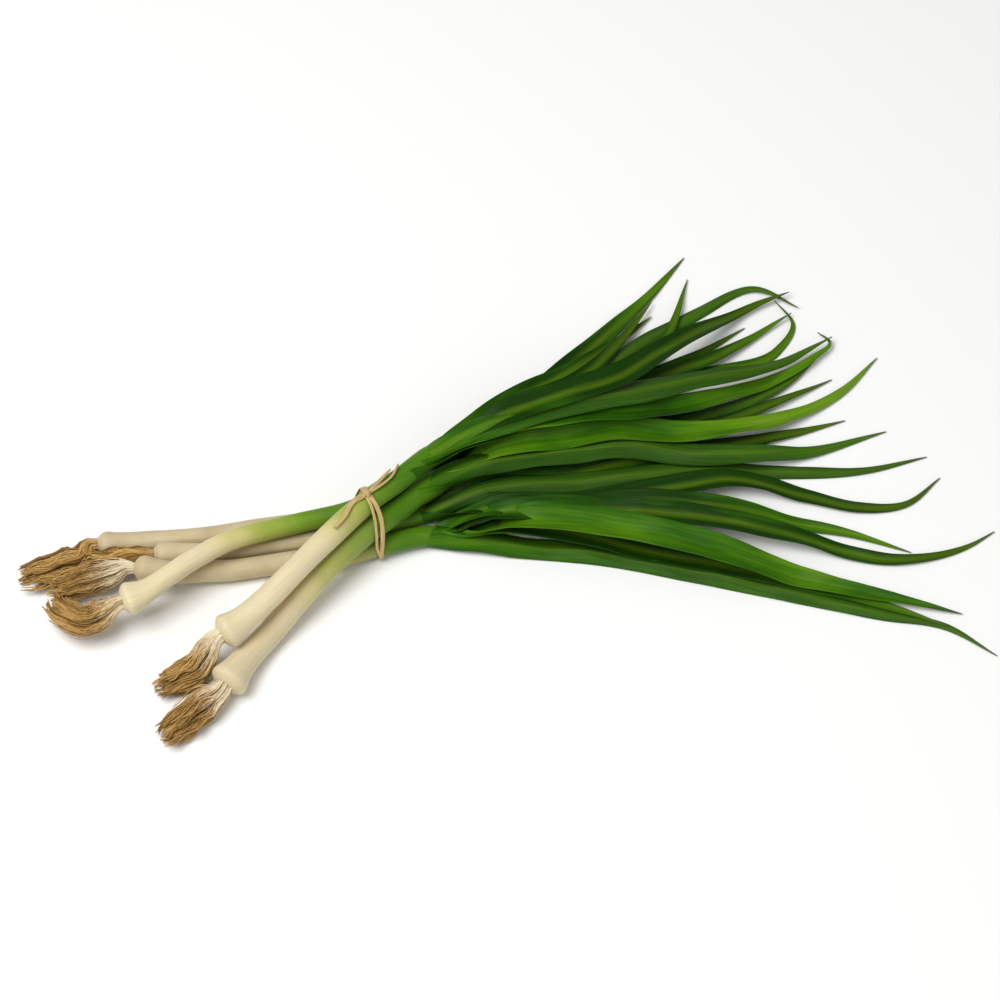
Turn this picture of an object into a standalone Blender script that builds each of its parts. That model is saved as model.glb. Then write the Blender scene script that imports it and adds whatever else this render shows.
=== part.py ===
"""Spring onion bunch: six onions with roots and leaves, lying down, tied once with raffia.

Sizes are in millimetres here and in metres in the scene. +Z is up, the surface is z = 0, and the
origin is under the middle of the bunch. Places are measured from the tie unless a line says otherwise.
"""
import math
import random
from dataclasses import dataclass

import bmesh
import bpy
import numpy as np
from mathutils import Vector

MM = 0.001
TIE_X, TIE_Y = -62.8, -25.6

# The heap: how close two stems or blades may lie, and how tightly they bend over each other.
STEM_GAP = 0.5
BLADE_GAP = 0.5
STEM_BEND = 110.0
BLADE_BEND = 90.0
MAP_HALF = 300

# The band: its plane leans from the Y axis, and the stems pass a little above the surface there.
BAND_LEAN = math.radians(20.0)
BAND_WIDTH = 3.4
BAND_THICK = 0.8
BAND_GAP = 0.35
BAND_LIFT = 1.5

# Stems that lie on the surface are pressed this flat there.
REST_FLAT = 0.35

SHANK_SIDES = 12
CORE_SIDES = 8
SHANK_STEP = 9
BLADE_STEP = 10
BLADE_THICK = 0.7
TIP_WIDTH = 1.0
END_GAP = 0.3

ROOT_SIDES = 3
ROOT_STRANDS = 11
ROOT_STEPS = 5
ROOT_THICK = 1.05
ROOT_START = 0.4


@dataclass(frozen=True)
class Leaf:
    """One blade: where it leaves the stem past the tie, its width, and the places its rib passes."""

    foot: float
    width: float
    path: tuple
    fold: float = 14.0
    twist: tuple = (0.0, 0.0, 0.0, 0.0)


@dataclass(frozen=True)
class Onion:
    """One plant: the places its stem passes from the root plate on, its radii, roots and leaves."""

    number: int
    path: tuple
    bulb: float
    shank: float
    fork: float
    roots: tuple
    root_spread: float
    leaves: tuple


ONION_1 = Onion(
    number=1,
    path=((-125, -4), (-102, -2), (-73, 1), (-51, 5), (-33, 8), (-10, 11), (5, 17), (19, 26), (36, 39)),
    bulb=5.2, shank=4.6, fork=4.3,
    roots=((-137, -13), (-150, -20), (-162, -23)), root_spread=6.5,
    leaves=(
        Leaf(foot=16, width=11, path=((68, 61), (104, 79), (132, 92), (152, 103), (174, 118))),
        Leaf(foot=20, width=9.5, path=((70, 55), (104, 70), (152, 90), (188, 104), (196, 119), (187, 134)),
             twist=(0, 0, 20, 30)),
        Leaf(foot=12, width=10, path=((68, 50), (104, 58), (141, 65), (172, 75), (203, 96))),
    ),
)
ONION_2 = Onion(
    number=2,
    path=((-99, -11), (-73, -9), (-51, -5), (-33, -2), (-10, 1), (5, 5.5), (19, 10.5), (34, 16), (48, 20)),
    bulb=4.9, shank=4.5, fork=4.2,
    roots=((-108, -8), (-115, -7), (-124, -7)), root_spread=3.6,
    leaves=(
        Leaf(foot=18, width=11, path=((62, 37), (86, 43), (114, 48), (152, 66), (191, 85), (211, 105)),
             fold=-14),
        Leaf(foot=14, width=12, path=((62, 17), (90, 20), (120, 28), (152, 42), (184, 54))),
        Leaf(foot=24, width=12, path=((64, 26), (86, 30), (109, 37), (152, 48), (193, 58), (219, 66))),
        Leaf(foot=14, width=11, path=((64, 23), (86, 25), (123, 30), (172, 37), (230, 39), (256, 46)),
             fold=-14),
        Leaf(foot=20, width=12.5, path=((66, 13), (104, 16), (143, 25), (162, 29), (199, 24), (223, 18),
                                      (245, 20), (262, 35)), twist=(0, 10, -15, 10)),
    ),
)
ONION_3 = Onion(
    number=3,
    path=((-107, -21), (-91, -23), (-73, -20), (-51, -16), (-33, -13), (-10, -10), (5, -5.5), (19, -1),
          (34, 2), (46, 3.5)),
    bulb=6.2, shank=5.2, fork=4.8,
    roots=((-118, -24), (-129, -29), (-141, -35)), root_spread=6.8,
    leaves=(
        Leaf(foot=14, width=11.5, path=((46, -2), (68, -3.5), (104, -7), (150, -17), (196, -29), (233, -39),
                                      (260, -45), (284, -61)), fold=-12),
        Leaf(foot=20, width=12, path=((60, 1), (80, 0), (104, -3), (169, -16), (228, -33), (262, -46))),
        Leaf(foot=16, width=12, path=((60, 8), (86, 11), (114, 14), (180, 11), (219, 4), (247, -6))),
        Leaf(foot=24, width=12, path=((62, 6), (86, 8), (143, 6), (199, -2), (245, -10), (274, -2),
                                      (286, 6)), twist=(0, 10, -10, 15)),
        Leaf(foot=28, width=15, path=((68, 1.5), (104, -0.5), (123, -3.5), (150, -10), (187, -19.5),
                                      (224, -29), (269, -39)), fold=16),
    ),
)
ONION_4 = Onion(
    number=4,
    path=((-112, -42), (-102, -38), (-92, -31), (-79, -21), (-65, -11), (-51, -4), (-33, 2), (-10, 8),
          (5, 16), (19, 28.5), (36, 44)),
    bulb=8.0, shank=4.9, fork=4.4,
    roots=((-121, -46), (-131, -48), (-139, -44), (-146, -36)), root_spread=6.8,
    leaves=(
        Leaf(foot=14, width=12, path=((60, 65), (86, 90), (105, 110), (125, 131), (146, 158))),
        Leaf(foot=10, width=12, path=((48, 55), (66, 72), (88, 89), (112, 107), (130, 124))),
        Leaf(foot=20, width=10.5, path=((68, 64), (104, 88), (131, 111), (152, 126), (178, 139), (199, 128)),
             fold=-14),
        Leaf(foot=24, width=9.5, path=((72, 65), (98, 84), (114, 105), (130, 131))),
        Leaf(foot=18, width=9.5, path=((70, 56), (92, 68), (116, 83), (136, 109), (147, 145))),
    ),
)
ONION_5 = Onion(
    number=5,
    path=((-65, -81), (-60, -73), (-50, -58), (-41, -47), (-32, -36.5), (-19, -21.5), (0, -3.5), (17, 12),
          (30, 24.5), (43, 34)),
    bulb=8.8, shank=6.3, fork=5.0,
    roots=((-74, -89), (-84, -98), (-95, -107)), root_spread=7.2,
    leaves=(
        Leaf(foot=16, width=11, path=((60, 34), (86, 39), (114, 46), (148, 57), (188, 75), (214, 89))),
        Leaf(foot=22, width=13, path=((72, 35), (95, 40), (118, 44), (152, 40), (192, 45), (238, 60)),
             fold=-14, twist=(0, -15, 20, 0)),
        Leaf(foot=28, width=13, path=((64, 40), (86, 45), (114, 52), (141, 51), (171, 57), (194, 67),
                                      (218, 82), (235, 101)), twist=(0, 15, -15, 0)),
    ),
)
ONION_6 = Onion(
    number=6,
    path=((-67, -60), (-54, -51), (-45, -43), (-36, -33.5), (-27, -23.5), (-18, -13.5), (-8, -2), (4, 10.5),
          (14, 19), (27, 30.5), (40, 41)),
    bulb=8.2, shank=5.8, fork=5.0,
    roots=((-76, -69), (-86, -75.5), (-98, -81)), root_spread=7.0,
    leaves=(
        Leaf(foot=14, width=12, path=((60, 46), (86, 58), (123, 76), (152, 94), (196, 125))),
        Leaf(foot=20, width=12, path=((68, 48), (95, 54), (143, 65), (172, 79), (205, 99), (213, 108),
                                      (207, 114))),
        Leaf(foot=26, width=13, path=((66, 48), (95, 59), (123, 67), (152, 78), (181, 89), (214, 110)),
             fold=-14),
        Leaf(foot=32, width=13.5, path=((68, 52), (91, 62), (114, 73), (133, 90), (152, 108), (172, 125),
                                        (195, 136)), fold=16),
    ),
)
ONIONS = (ONION_1, ONION_2, ONION_3, ONION_4, ONION_5, ONION_6)

COLOURS = {
    "roots": (0.33, 0.23, 0.11, 1.0),
    "shank": (0.80, 0.77, 0.55, 1.0),
    "leaves": (0.03, 0.12, 0.02, 1.0),
    "raffia": (0.55, 0.38, 0.18, 1.0),
}


def smooth_step(value):
    """Rise from 0 to 1 with flat ends."""
    value = np.clip(value, 0.0, 1.0)
    return value * value * (3.0 - 2.0 * value)


def smooth_line(places):
    """Stations one millimetre apart on a smooth line through the given places."""
    places = np.array(places, float)
    knots = np.concatenate(([0.0], np.cumsum(np.linalg.norm(np.diff(places, axis=0), axis=1))))
    slopes = np.gradient(places, knots, axis=0)
    fine = np.arange(0.0, knots[-1], 0.25)
    span = np.clip(np.searchsorted(knots, fine, side="right") - 1, 0, len(knots) - 2)
    width = (knots[span + 1] - knots[span])[:, None]
    t = (fine - knots[span])[:, None] / width
    line = ((2 * t**3 - 3 * t**2 + 1) * places[span] + (t**3 - 2 * t**2 + t) * width * slopes[span]
            + (3 * t**2 - 2 * t**3) * places[span + 1] + (t**3 - t**2) * width * slopes[span + 1])
    run = np.concatenate(([0.0], np.cumsum(np.linalg.norm(np.diff(line, axis=0), axis=1))))
    even = np.arange(0.0, run[-1], 1.0)
    return np.column_stack([np.interp(even, run, line[:, axis]) for axis in range(2)])


def side_of(line):
    """Unit vectors to the left of a line's direction, in the plane of the surface."""
    ahead = np.gradient(line, axis=0)
    ahead /= np.linalg.norm(ahead, axis=1)[:, None]
    return np.column_stack((-ahead[:, 1], ahead[:, 0]))


def drape(needed, bend):
    """Lowest heights above `needed` that bend no tighter than the given radius where they arch."""
    run = np.arange(len(needed))
    tents = needed[None, :] - (run[:, None] - run[None, :]) ** 2 / (2.0 * bend)
    heights = tents.max(axis=1)
    for _ in range(6):
        padded = np.pad(heights, 3, mode="edge")
        blurred = np.convolve(padded, np.ones(7) / 7.0, mode="valid")
        heights = np.maximum(blurred, needed)
    return heights


class Heap:
    """What already lies on the surface: the stems as rows of balls, the blades as a height map."""

    def __init__(self):
        self.balls = np.zeros((0, 4))
        self.owners = np.zeros(0, int)
        self.blades = np.zeros((2 * MAP_HALF, 2 * MAP_HALF))

    def spread(self, heights):
        """The map with each cell raised to its highest neighbour."""
        padded = np.pad(heights, 1, mode="edge")
        size = heights.shape[0]
        shifts = [padded[i:i + size, j:j + size] for i in range(3) for j in range(3)]
        return np.maximum.reduce(shifts)

    def look(self, heights, x, y):
        """Heights of a map at the given places."""
        column = np.clip(np.round(x).astype(int) + MAP_HALF, 0, 2 * MAP_HALF - 1)
        row = np.clip(np.round(y).astype(int) + MAP_HALF, 0, 2 * MAP_HALF - 1)
        return heights[column, row]

    def floor(self, x, y):
        """The surface, raised a little where the band passes under the stems."""
        off = np.abs(x * math.cos(BAND_LEAN) + y * math.sin(BAND_LEAN))
        return np.where((off < 4.0) & (np.hypot(x, y) < 40.0), BAND_LIFT, 0.0)

    def lay_cord(self, line, radii, owner, bend=STEM_BEND):
        """Lay a stem or tuft over the heap and return the heights of its middle."""
        side = side_of(line)
        needed = radii - REST_FLAT + self.floor(line[:, 0], line[:, 1])
        other = self.balls[self.owners != owner]
        if len(other):
            off = np.linalg.norm(line[:, None, :] - other[None, :, :2], axis=2)
            reach = radii[:, None] + other[None, :, 3] + STEM_GAP
            lift = other[None, :, 2] + np.sqrt(np.clip(reach**2 - off**2, 0.0, None))
            needed = np.maximum(needed, np.where(off < reach, lift, 0.0).max(axis=1))
        blades = self.spread(self.blades)
        for share in np.linspace(-1.0, 1.0, 9):
            across = line + side * (radii * share)[:, None]
            below = self.look(blades, across[:, 0], across[:, 1])
            touch = below + radii * math.sqrt(1.0 - share**2) + STEM_GAP
            needed = np.maximum(needed, np.where(below > 0.0, touch, 0.0))
        heights = drape(needed, bend)
        balls = np.column_stack((line, heights, radii))
        self.balls = np.vstack((self.balls, balls))
        self.owners = np.concatenate((self.owners, np.full(len(balls), owner)))
        return heights

    def stem_map(self, skipped=0):
        """Height map of the stems, without those of one onion."""
        heights = np.zeros_like(self.blades)
        for x, y, z, radius in self.balls[self.owners != skipped]:
            reach = int(radius) + 1
            for i in range(int(x) - reach, int(x) + reach + 1):
                for j in range(int(y) - reach, int(y) + reach + 1):
                    rest = radius**2 - (i - x) ** 2 - (j - y) ** 2
                    if rest > 0.0:
                        cell = (i + MAP_HALF, j + MAP_HALF)
                        heights[cell] = max(heights[cell], z + math.sqrt(rest))
        return heights

    def lay_blade(self, line, sections, start, own, others):
        """Lay a blade and return the heights of its rib.

        Its own onion counts in full only 45 mm past the foot, because it grows out of that stem.
        """
        side = side_of(line)
        run = np.arange(len(line), dtype=float)
        ramp = smooth_step((run - 12.0) / 33.0)
        needed = np.full(len(line), BLADE_THICK / 2.0)
        every = self.spread(np.maximum(own, self.blades))
        other = self.spread(others)
        for index in range(sections.shape[1]):
            place = line + side * sections[:, index, 0][:, None]
            above = BLADE_THICK / 2.0 + BLADE_GAP - sections[:, index, 1]
            outer = self.look(other, place[:, 0], place[:, 1])
            inner = self.look(every, place[:, 0], place[:, 1])
            base = np.maximum(outer + above - BLADE_GAP * (outer <= 0.0), 0.0)
            full = np.maximum(inner + above - BLADE_GAP * (inner <= 0.0), base)
            needed = np.maximum(needed, base + (full - base) * ramp)
        held = run < 8.0
        needed[held] = start[:int(held.sum())]
        heights = drape(needed, BLADE_BEND)
        heights[held] = start[:int(held.sum())]
        for index in range(sections.shape[1]):
            place = line + side * sections[:, index, 0][:, None]
            column = np.round(place[:, 0]).astype(int) + MAP_HALF
            row = np.round(place[:, 1]).astype(int) + MAP_HALF
            top = heights + sections[:, index, 1] + BLADE_THICK / 2.0
            np.maximum.at(self.blades, (column, row), top)
        return heights


def stem_radius(onion, run, length):
    """Radius along a stem: rounded root plate, bulb, shank, and thinner to the fork."""
    rounded = 0.7 + 0.3 * np.sin(np.clip(run / 2.5, 0.0, 1.0) * math.pi / 2.0)
    swell = (onion.bulb - onion.shank) * np.exp(-((run / 10.0) ** 2))
    thin = (onion.shank - onion.fork) * smooth_step((run / length - 0.4) / 0.5)
    closing = 1.0 - 0.75 * smooth_step((run - length + 20.0) / 20.0)
    return rounded * (onion.shank + swell - thin) * closing


def blade_sections(leaf, count, across):
    """Section of a blade at each station, as offsets to the side and up, folded and twisted."""
    run = np.arange(count, dtype=float)
    share = run / (count - 1.0)
    rise = 0.55 + 0.45 * smooth_step((run - 8.0) / 40.0)
    taper = 1.0 - np.clip((share - 0.45) / 0.55, 0.0, 1.0) ** 1.5
    width = TIP_WIDTH + (leaf.width - TIP_WIDTH) * rise * taper
    folded = math.copysign(40.0, leaf.fold)
    fold = np.radians(leaf.fold + (folded - leaf.fold) * (1.0 - smooth_step((run - 8.0) / 35.0)))
    stops = np.linspace(0.0, 1.0, len(leaf.twist))
    twist = np.radians(np.interp(share, stops, leaf.twist))
    spots = np.linspace(-0.5, 0.5, across)
    out = width[:, None] * spots[None, :] * np.cos(fold)[:, None]
    up = width[:, None] * np.abs(spots)[None, :] * np.sin(fold)[:, None]
    up = up - (up.max(axis=1) + up.min(axis=1))[:, None] / 2.0
    turned_out = out * np.cos(twist)[:, None] - up * np.sin(twist)[:, None]
    turned_up = out * np.sin(twist)[:, None] + up * np.cos(twist)[:, None]
    return np.stack((turned_out, turned_up), axis=2), twist


def place(point):
    """A point in millimetres from the tie, as a vector in metres in the part's own frame."""
    return Vector(((point[0] + TIE_X) * MM, (point[1] + TIE_Y) * MM, point[2] * MM))


def mesh_object(name, points, faces, collection):
    """A mesh object from points in millimetres, with its normals outward."""
    mesh = bpy.data.meshes.new(name)
    mesh.from_pydata([place(point) for point in points], [], faces)
    body = bmesh.new()
    body.from_mesh(mesh)
    bmesh.ops.recalc_face_normals(body, faces=body.faces)
    body.to_mesh(mesh)
    body.free()
    result = bpy.data.objects.new(name, mesh)
    collection.objects.link(result)
    return result


def directions(line):
    """Unit vectors along a line of points."""
    ahead = np.gradient(np.array(line, float), axis=0)
    return ahead / np.linalg.norm(ahead, axis=1)[:, None]


def tube_mesh(line, radii, sides, turn=0.0, ahead=None):
    """Points and faces of a round tube along a line of points, with flat ends."""
    line = np.array(line, float)
    ahead = directions(line) if ahead is None else ahead
    side = np.cross(np.array((0.0, 0.0, 1.0)), ahead)
    side /= np.linalg.norm(side, axis=1)[:, None]
    up = np.cross(ahead, side)
    points = []
    for middle, left, high, radius in zip(line, side, up, radii):
        for index in range(sides):
            angle = turn + 2.0 * math.pi * index / sides
            points.append(middle + radius * (math.cos(angle) * left + math.sin(angle) * high))
    faces = []
    for ring in range(len(line) - 1):
        for index in range(sides):
            a = ring * sides + index
            b = ring * sides + (index + 1) % sides
            faces.append((a, b, b + sides))
            faces.append((a, b + sides, a + sides))
    faces.append(tuple(range(sides)))
    last = (len(line) - 1) * sides
    faces.append(tuple(reversed(range(last, last + sides))))
    return points, faces


def blade_mesh(line, heights, sections, twist, rows):
    """Points and faces of a closed blade, split into triangles alike on both faces."""
    side = side_of(line)
    across = sections.shape[1]
    points = []
    for row in rows:
        normal_out = -math.sin(twist[row])
        normal_up = math.cos(twist[row])
        for face in (0.5, -0.5):
            for index in range(across):
                out = sections[row, index, 0] + face * BLADE_THICK * normal_out
                up = sections[row, index, 1] + face * BLADE_THICK * normal_up
                spot = line[row] + side[row] * out
                points.append((spot[0], spot[1], heights[row] + up))
    faces = []
    ring = 2 * across
    for row in range(len(rows) - 1):
        for index in range(across - 1):
            top = row * ring + index
            for a in (top, top + across):
                faces.append((a, a + 1, a + ring + 1))
                faces.append((a, a + ring + 1, a + ring))
        for a, b in ((0, across), (across - 1, ring - 1)):
            a += row * ring
            b += row * ring
            faces.append((a, b, b + ring))
            faces.append((a, b + ring, a + ring))
    for start in (0, (len(rows) - 1) * ring):
        for index in range(across - 1):
            a = start + index
            faces.append((a, a + 1, a + across + 1, a + across))
    return points, faces


def keep_outer_body(mesh):
    """Fill any hollow that fusing sealed and drop loose scraps, by keeping the largest body."""
    body = bmesh.new()
    body.from_mesh(mesh)
    left = set(body.verts)
    groups = []
    while left:
        group = set()
        edge = [next(iter(left))]
        while edge:
            corner = edge.pop()
            if corner not in group:
                group.add(corner)
                edge.extend(link.other_vert(corner) for link in corner.link_edges)
        left -= group
        groups.append(group)
    groups.sort(key=len)
    for group in groups[:-1]:
        bmesh.ops.delete(body, geom=list(group), context="VERTS")
    body.to_mesh(mesh)
    body.free()


def fuse(name, pieces, collection):
    """Join the pieces by one Boolean union, apply it and remove what it used."""
    tools = bpy.data.collections.new(name + "_tools")
    tools.hide_render = True
    bpy.context.scene.collection.children.link(tools)
    first = pieces[0]
    for piece in pieces[1:]:
        collection.objects.unlink(piece)
        tools.objects.link(piece)
        piece.display_type = "WIRE"
    union = first.modifiers.new("union", "BOOLEAN")
    union.operation = "UNION"
    union.operand_type = "COLLECTION"
    union.collection = tools
    union.solver = "MANIFOLD"
    graph = bpy.context.evaluated_depsgraph_get()
    fused = bpy.data.meshes.new_from_object(first.evaluated_get(graph))
    fused.name = name
    keep_outer_body(fused)
    first.modifiers.remove(union)
    first.data = fused
    first.name = name
    for piece in list(tools.objects):
        bpy.data.objects.remove(piece)
    bpy.data.collections.remove(tools)
    return first


def finish_object(result, kind):
    """Give an object its own Principled material."""
    material = bpy.data.materials.new(result.name)
    material.use_nodes = True
    shader = material.node_tree.nodes["Principled BSDF"]
    shader.inputs["Base Color"].default_value = COLOURS[kind]
    shader.inputs["Roughness"].default_value = 0.5
    result.data.materials.clear()
    result.data.materials.append(material)
    return result


def band_offset(line):
    """Distance of each place past the band's plane."""
    return line[:, 0] * math.cos(BAND_LEAN) + line[:, 1] * math.sin(BAND_LEAN)


def build_shank(onion, line, heights, radii, cut, collection):
    """The white stem from the root plate to the tie, flat where it rests on the surface."""
    rows = [0, 1, 3, 6, 10] + list(range(16, cut - SHANK_STEP // 2, SHANK_STEP)) + [cut]
    middle = np.column_stack((line, heights))
    ahead = directions(middle)[rows]
    points = middle[rows]
    points[-1] = points[-1] - ahead[-1] * END_GAP / 2.0
    mesh = tube_mesh(points, radii[rows], SHANK_SIDES, ahead=ahead)
    shank = mesh_object("onion_%d_shank" % onion.number, *mesh, collection)
    rest_flat(shank)
    return finish_object(shank, "shank")


def rest_flat(target):
    """Cut an object off level with the surface, where it reaches below."""
    body = bmesh.new()
    body.from_mesh(target.data)
    if min(corner.co.z for corner in body.verts) < -1e-5:
        parts = body.verts[:] + body.edges[:] + body.faces[:]
        bmesh.ops.bisect_plane(body, geom=parts, dist=1e-7, plane_co=(0, 0, 0), plane_no=(0, 0, 1),
                               clear_inner=True)
        rim = [edge for edge in body.edges if edge.is_boundary]
        bmesh.ops.holes_fill(body, edges=rim, sides=0)
        bmesh.ops.recalc_face_normals(body, faces=body.faces)
    body.to_mesh(target.data)
    body.free()


def build_core(onion, line, heights, radii, cut, collection):
    """The green stem from the tie to its fork, which the blades grow out of."""
    rows = [cut] + list(range(cut + SHANK_STEP, len(line) - 4, SHANK_STEP)) + [len(line) - 1]
    middle = np.column_stack((line, heights))
    ahead = directions(middle)[rows]
    points = middle[rows]
    points[0] = points[0] + ahead[0] * END_GAP / 2.0
    mesh = tube_mesh(points, radii[rows], CORE_SIDES, ahead=ahead)
    core = mesh_object("core", *mesh, collection)
    rest_flat(core)
    return core


def build_leaves(onion, line, heights, radii, cut, heap, collection):
    """The green stem with its blades, fused into one body."""
    pieces = [build_core(onion, line, heights, radii, cut, collection)]
    others = np.maximum(heap.stem_map(skipped=onion.number), heap.blades)
    own = heap.stem_map()
    for leaf in onion.leaves:
        foot = min(cut + int(leaf.foot), len(line) - 14)
        start = [tuple(line[foot]), tuple(line[foot + 8])]
        path = smooth_line(start + list(leaf.path))
        sections, twist = blade_sections(leaf, len(path), 7)
        lift = heap.lay_blade(path, sections, heights[foot:foot + 9], own, others)
        rows = list(range(0, len(path) - BLADE_STEP // 2, BLADE_STEP)) + [len(path) - 1]
        mesh = blade_mesh(path, lift, sections[:, ::3], twist, rows)
        pieces.append(mesh_object("blade", *mesh, collection))
    result = fuse("onion_%d_leaves" % onion.number, pieces, collection)
    return finish_object(result, "leaves")


def build_roots(onion, stem, heap, collection):
    """The tuft on the root plate: thin strands that grow out of a slimmer core."""
    plate = stem[0]
    out_of_plate = -directions(stem)[0]
    first = plate + out_of_plate * ROOT_START
    line = smooth_line([first[:2], (plate + out_of_plate * 4.0)[:2]] + list(onion.roots))
    share = np.arange(len(line)) / (len(line) - 1.0)
    opening = 0.55 + 0.45 * smooth_step(share / 0.35)
    spread = onion.root_spread * opening * (1.0 - 0.5 * share**2)
    heights = heap.lay_cord(line, spread, onion.number)
    heights = heights + (first[2] - heights[0]) * (1.0 - smooth_step(share / 0.5))
    rows = np.linspace(0, len(line) - 1, ROOT_STEPS).astype(int)
    middle = np.column_stack((line, heights))
    inner = rows[:-1]
    ahead = directions(middle[inner])
    ahead[0] = out_of_plate
    mesh = tube_mesh(middle[inner], 0.55 * spread[inner] * (1.1 - share[inner]), 6, ahead=ahead)
    pieces = [mesh_object("core", *mesh, collection)]
    rng = random.Random(100 + onion.number)
    side = side_of(line)
    for index in range(ROOT_STRANDS):
        angle = 2.0 * math.pi * (index + rng.uniform(-0.3, 0.3)) / ROOT_STRANDS
        reach = rng.uniform(0.55, 0.95)
        length = rng.uniform(0.75, 1.0)
        swing = rng.uniform(-0.5, 0.5)
        points = []
        radii = []
        for step, row in enumerate(np.linspace(0, (len(line) - 1) * length, ROOT_STEPS).astype(int)):
            along = step / (ROOT_STEPS - 1.0)
            out = spread[row] * (0.5 + (reach - 0.5) * math.sin(along * math.pi / 2.0))
            turn = angle + swing * along
            offset = side[row] * math.cos(turn) * (out - 0.5)
            level = max(heights[row] + math.sin(turn) * (out - 0.5), ROOT_THICK)
            points.append((line[row, 0] + offset[0], line[row, 1] + offset[1], level))
            radii.append(ROOT_THICK * (1.0 - 0.6 * along))
        ahead = directions(points)
        ahead[0] = out_of_plate
        strand = tube_mesh(points, radii, ROOT_SIDES, turn=rng.uniform(0.0, 2.0), ahead=ahead)
        pieces.append(mesh_object("strand", *strand, collection))
    result = fuse("onion_%d_roots" % onion.number, pieces, collection)
    return finish_object(result, "roots")


def outer_hull(points):
    """Corners of the convex outline of flat points, in order."""
    points = sorted(map(tuple, points))
    halves = []
    for run in (points, points[::-1]):
        half = []
        for point in run:
            while len(half) > 1:
                (ax, ay), (bx, by) = half[-2], half[-1]
                if (bx - ax) * (point[1] - ay) - (by - ay) * (point[0] - ax) > 0.0:
                    break
                half.pop()
            half.append(point)
        halves.append(half[:-1])
    return np.array(halves[0] + halves[1])


def band_outline(stems):
    """Even points on the outline of the stems where the band passes round them."""
    spots = []
    for line, heights, radii in stems:
        ahead = band_offset(line)
        for offset in (-BAND_WIDTH / 2.0, 0.0, BAND_WIDTH / 2.0):
            row = int(np.argmin(np.abs(ahead - offset)))
            step = line[min(row + 1, len(line) - 1)] - line[row - 1]
            step = step / np.linalg.norm(step)
            slant = step[0] * math.cos(BAND_LEAN) + step[1] * math.sin(BAND_LEAN)
            across = -line[row, 0] * math.sin(BAND_LEAN) + line[row, 1] * math.cos(BAND_LEAN)
            for angle in np.linspace(0.0, 2.0 * math.pi, 24, endpoint=False):
                grown = radii[row] + BAND_GAP
                spots.append((across + grown * math.cos(angle) / slant,
                              heights[row] + grown * math.sin(angle)))
    hull = outer_hull(spots)
    closed = np.vstack((hull, hull[:1]))
    run = np.concatenate(([0.0], np.cumsum(np.linalg.norm(np.diff(closed, axis=0), axis=1))))
    even = np.linspace(0.0, run[-1], 48, endpoint=False)
    return np.column_stack([np.interp(even, run, closed[:, axis]) for axis in range(2)])


def band_mesh(outline):
    """Points and faces of the closed band."""
    ahead = np.roll(outline, -1, axis=0) - np.roll(outline, 1, axis=0)
    ahead /= np.linalg.norm(ahead, axis=1)[:, None]
    outward = np.column_stack((ahead[:, 1], -ahead[:, 0]))
    points = []
    for spot, out in zip(outline, outward):
        for side, depth in ((-0.5, 0.0), (0.5, 0.0), (0.5, 1.0), (-0.5, 1.0)):
            across, level = spot + out * BAND_THICK * depth
            shift = side * BAND_WIDTH
            points.append((shift * math.cos(BAND_LEAN) - across * math.sin(BAND_LEAN),
                           shift * math.sin(BAND_LEAN) + across * math.cos(BAND_LEAN), level))
    count = len(points)
    faces = []
    for ring in range(len(outline)):
        for index in range(4):
            a = ring * 4 + index
            b = ring * 4 + (index + 1) % 4
            faces.append((a, b, (b + 4) % count))
            faces.append((a, (b + 4) % count, (a + 4) % count))
    return points, faces


def ribbon_mesh(line, levels, width, thick):
    """Points and faces of a flat tail that lies level across, split alike on both faces."""
    count = len(line)
    sections = np.zeros((count, 2, 2))
    sections[:, 0, 0] = -width / 2.0
    sections[:, 1, 0] = width / 2.0
    side = side_of(line)
    points = []
    for row in range(count):
        for level in (thick / 2.0, -thick / 2.0):
            for index in range(2):
                spot = line[row] + side[row] * sections[row, index, 0]
                points.append((spot[0], spot[1], levels[row] + level))
    faces = []
    for row in range(count - 1):
        for a, b in ((0, 1), (1, 3), (3, 2), (2, 0)):
            a += row * 4
            b += row * 4
            faces.append((a, b, b + 4))
            faces.append((a, b + 4, a + 4))
    faces.append((0, 1, 3, 2))
    last = (count - 1) * 4
    faces.append((last, last + 1, last + 3, last + 2))
    return points, faces


TAILS = (
    (1.6, ((-2, 5), (4, 13), (9, 20))),
    (1.4, ((-2, 5), (4, 10), (9.5, 16), (12.5, 23))),
    (2.4, ((-2, 5), (-8, 0.5), (-11, -6.5), (-15, -12))),
)
TAIL_THICK = 0.8
KNOT_PLACE = (-2.0, 5.0)
KNOT_RADIUS = 2.4


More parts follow.
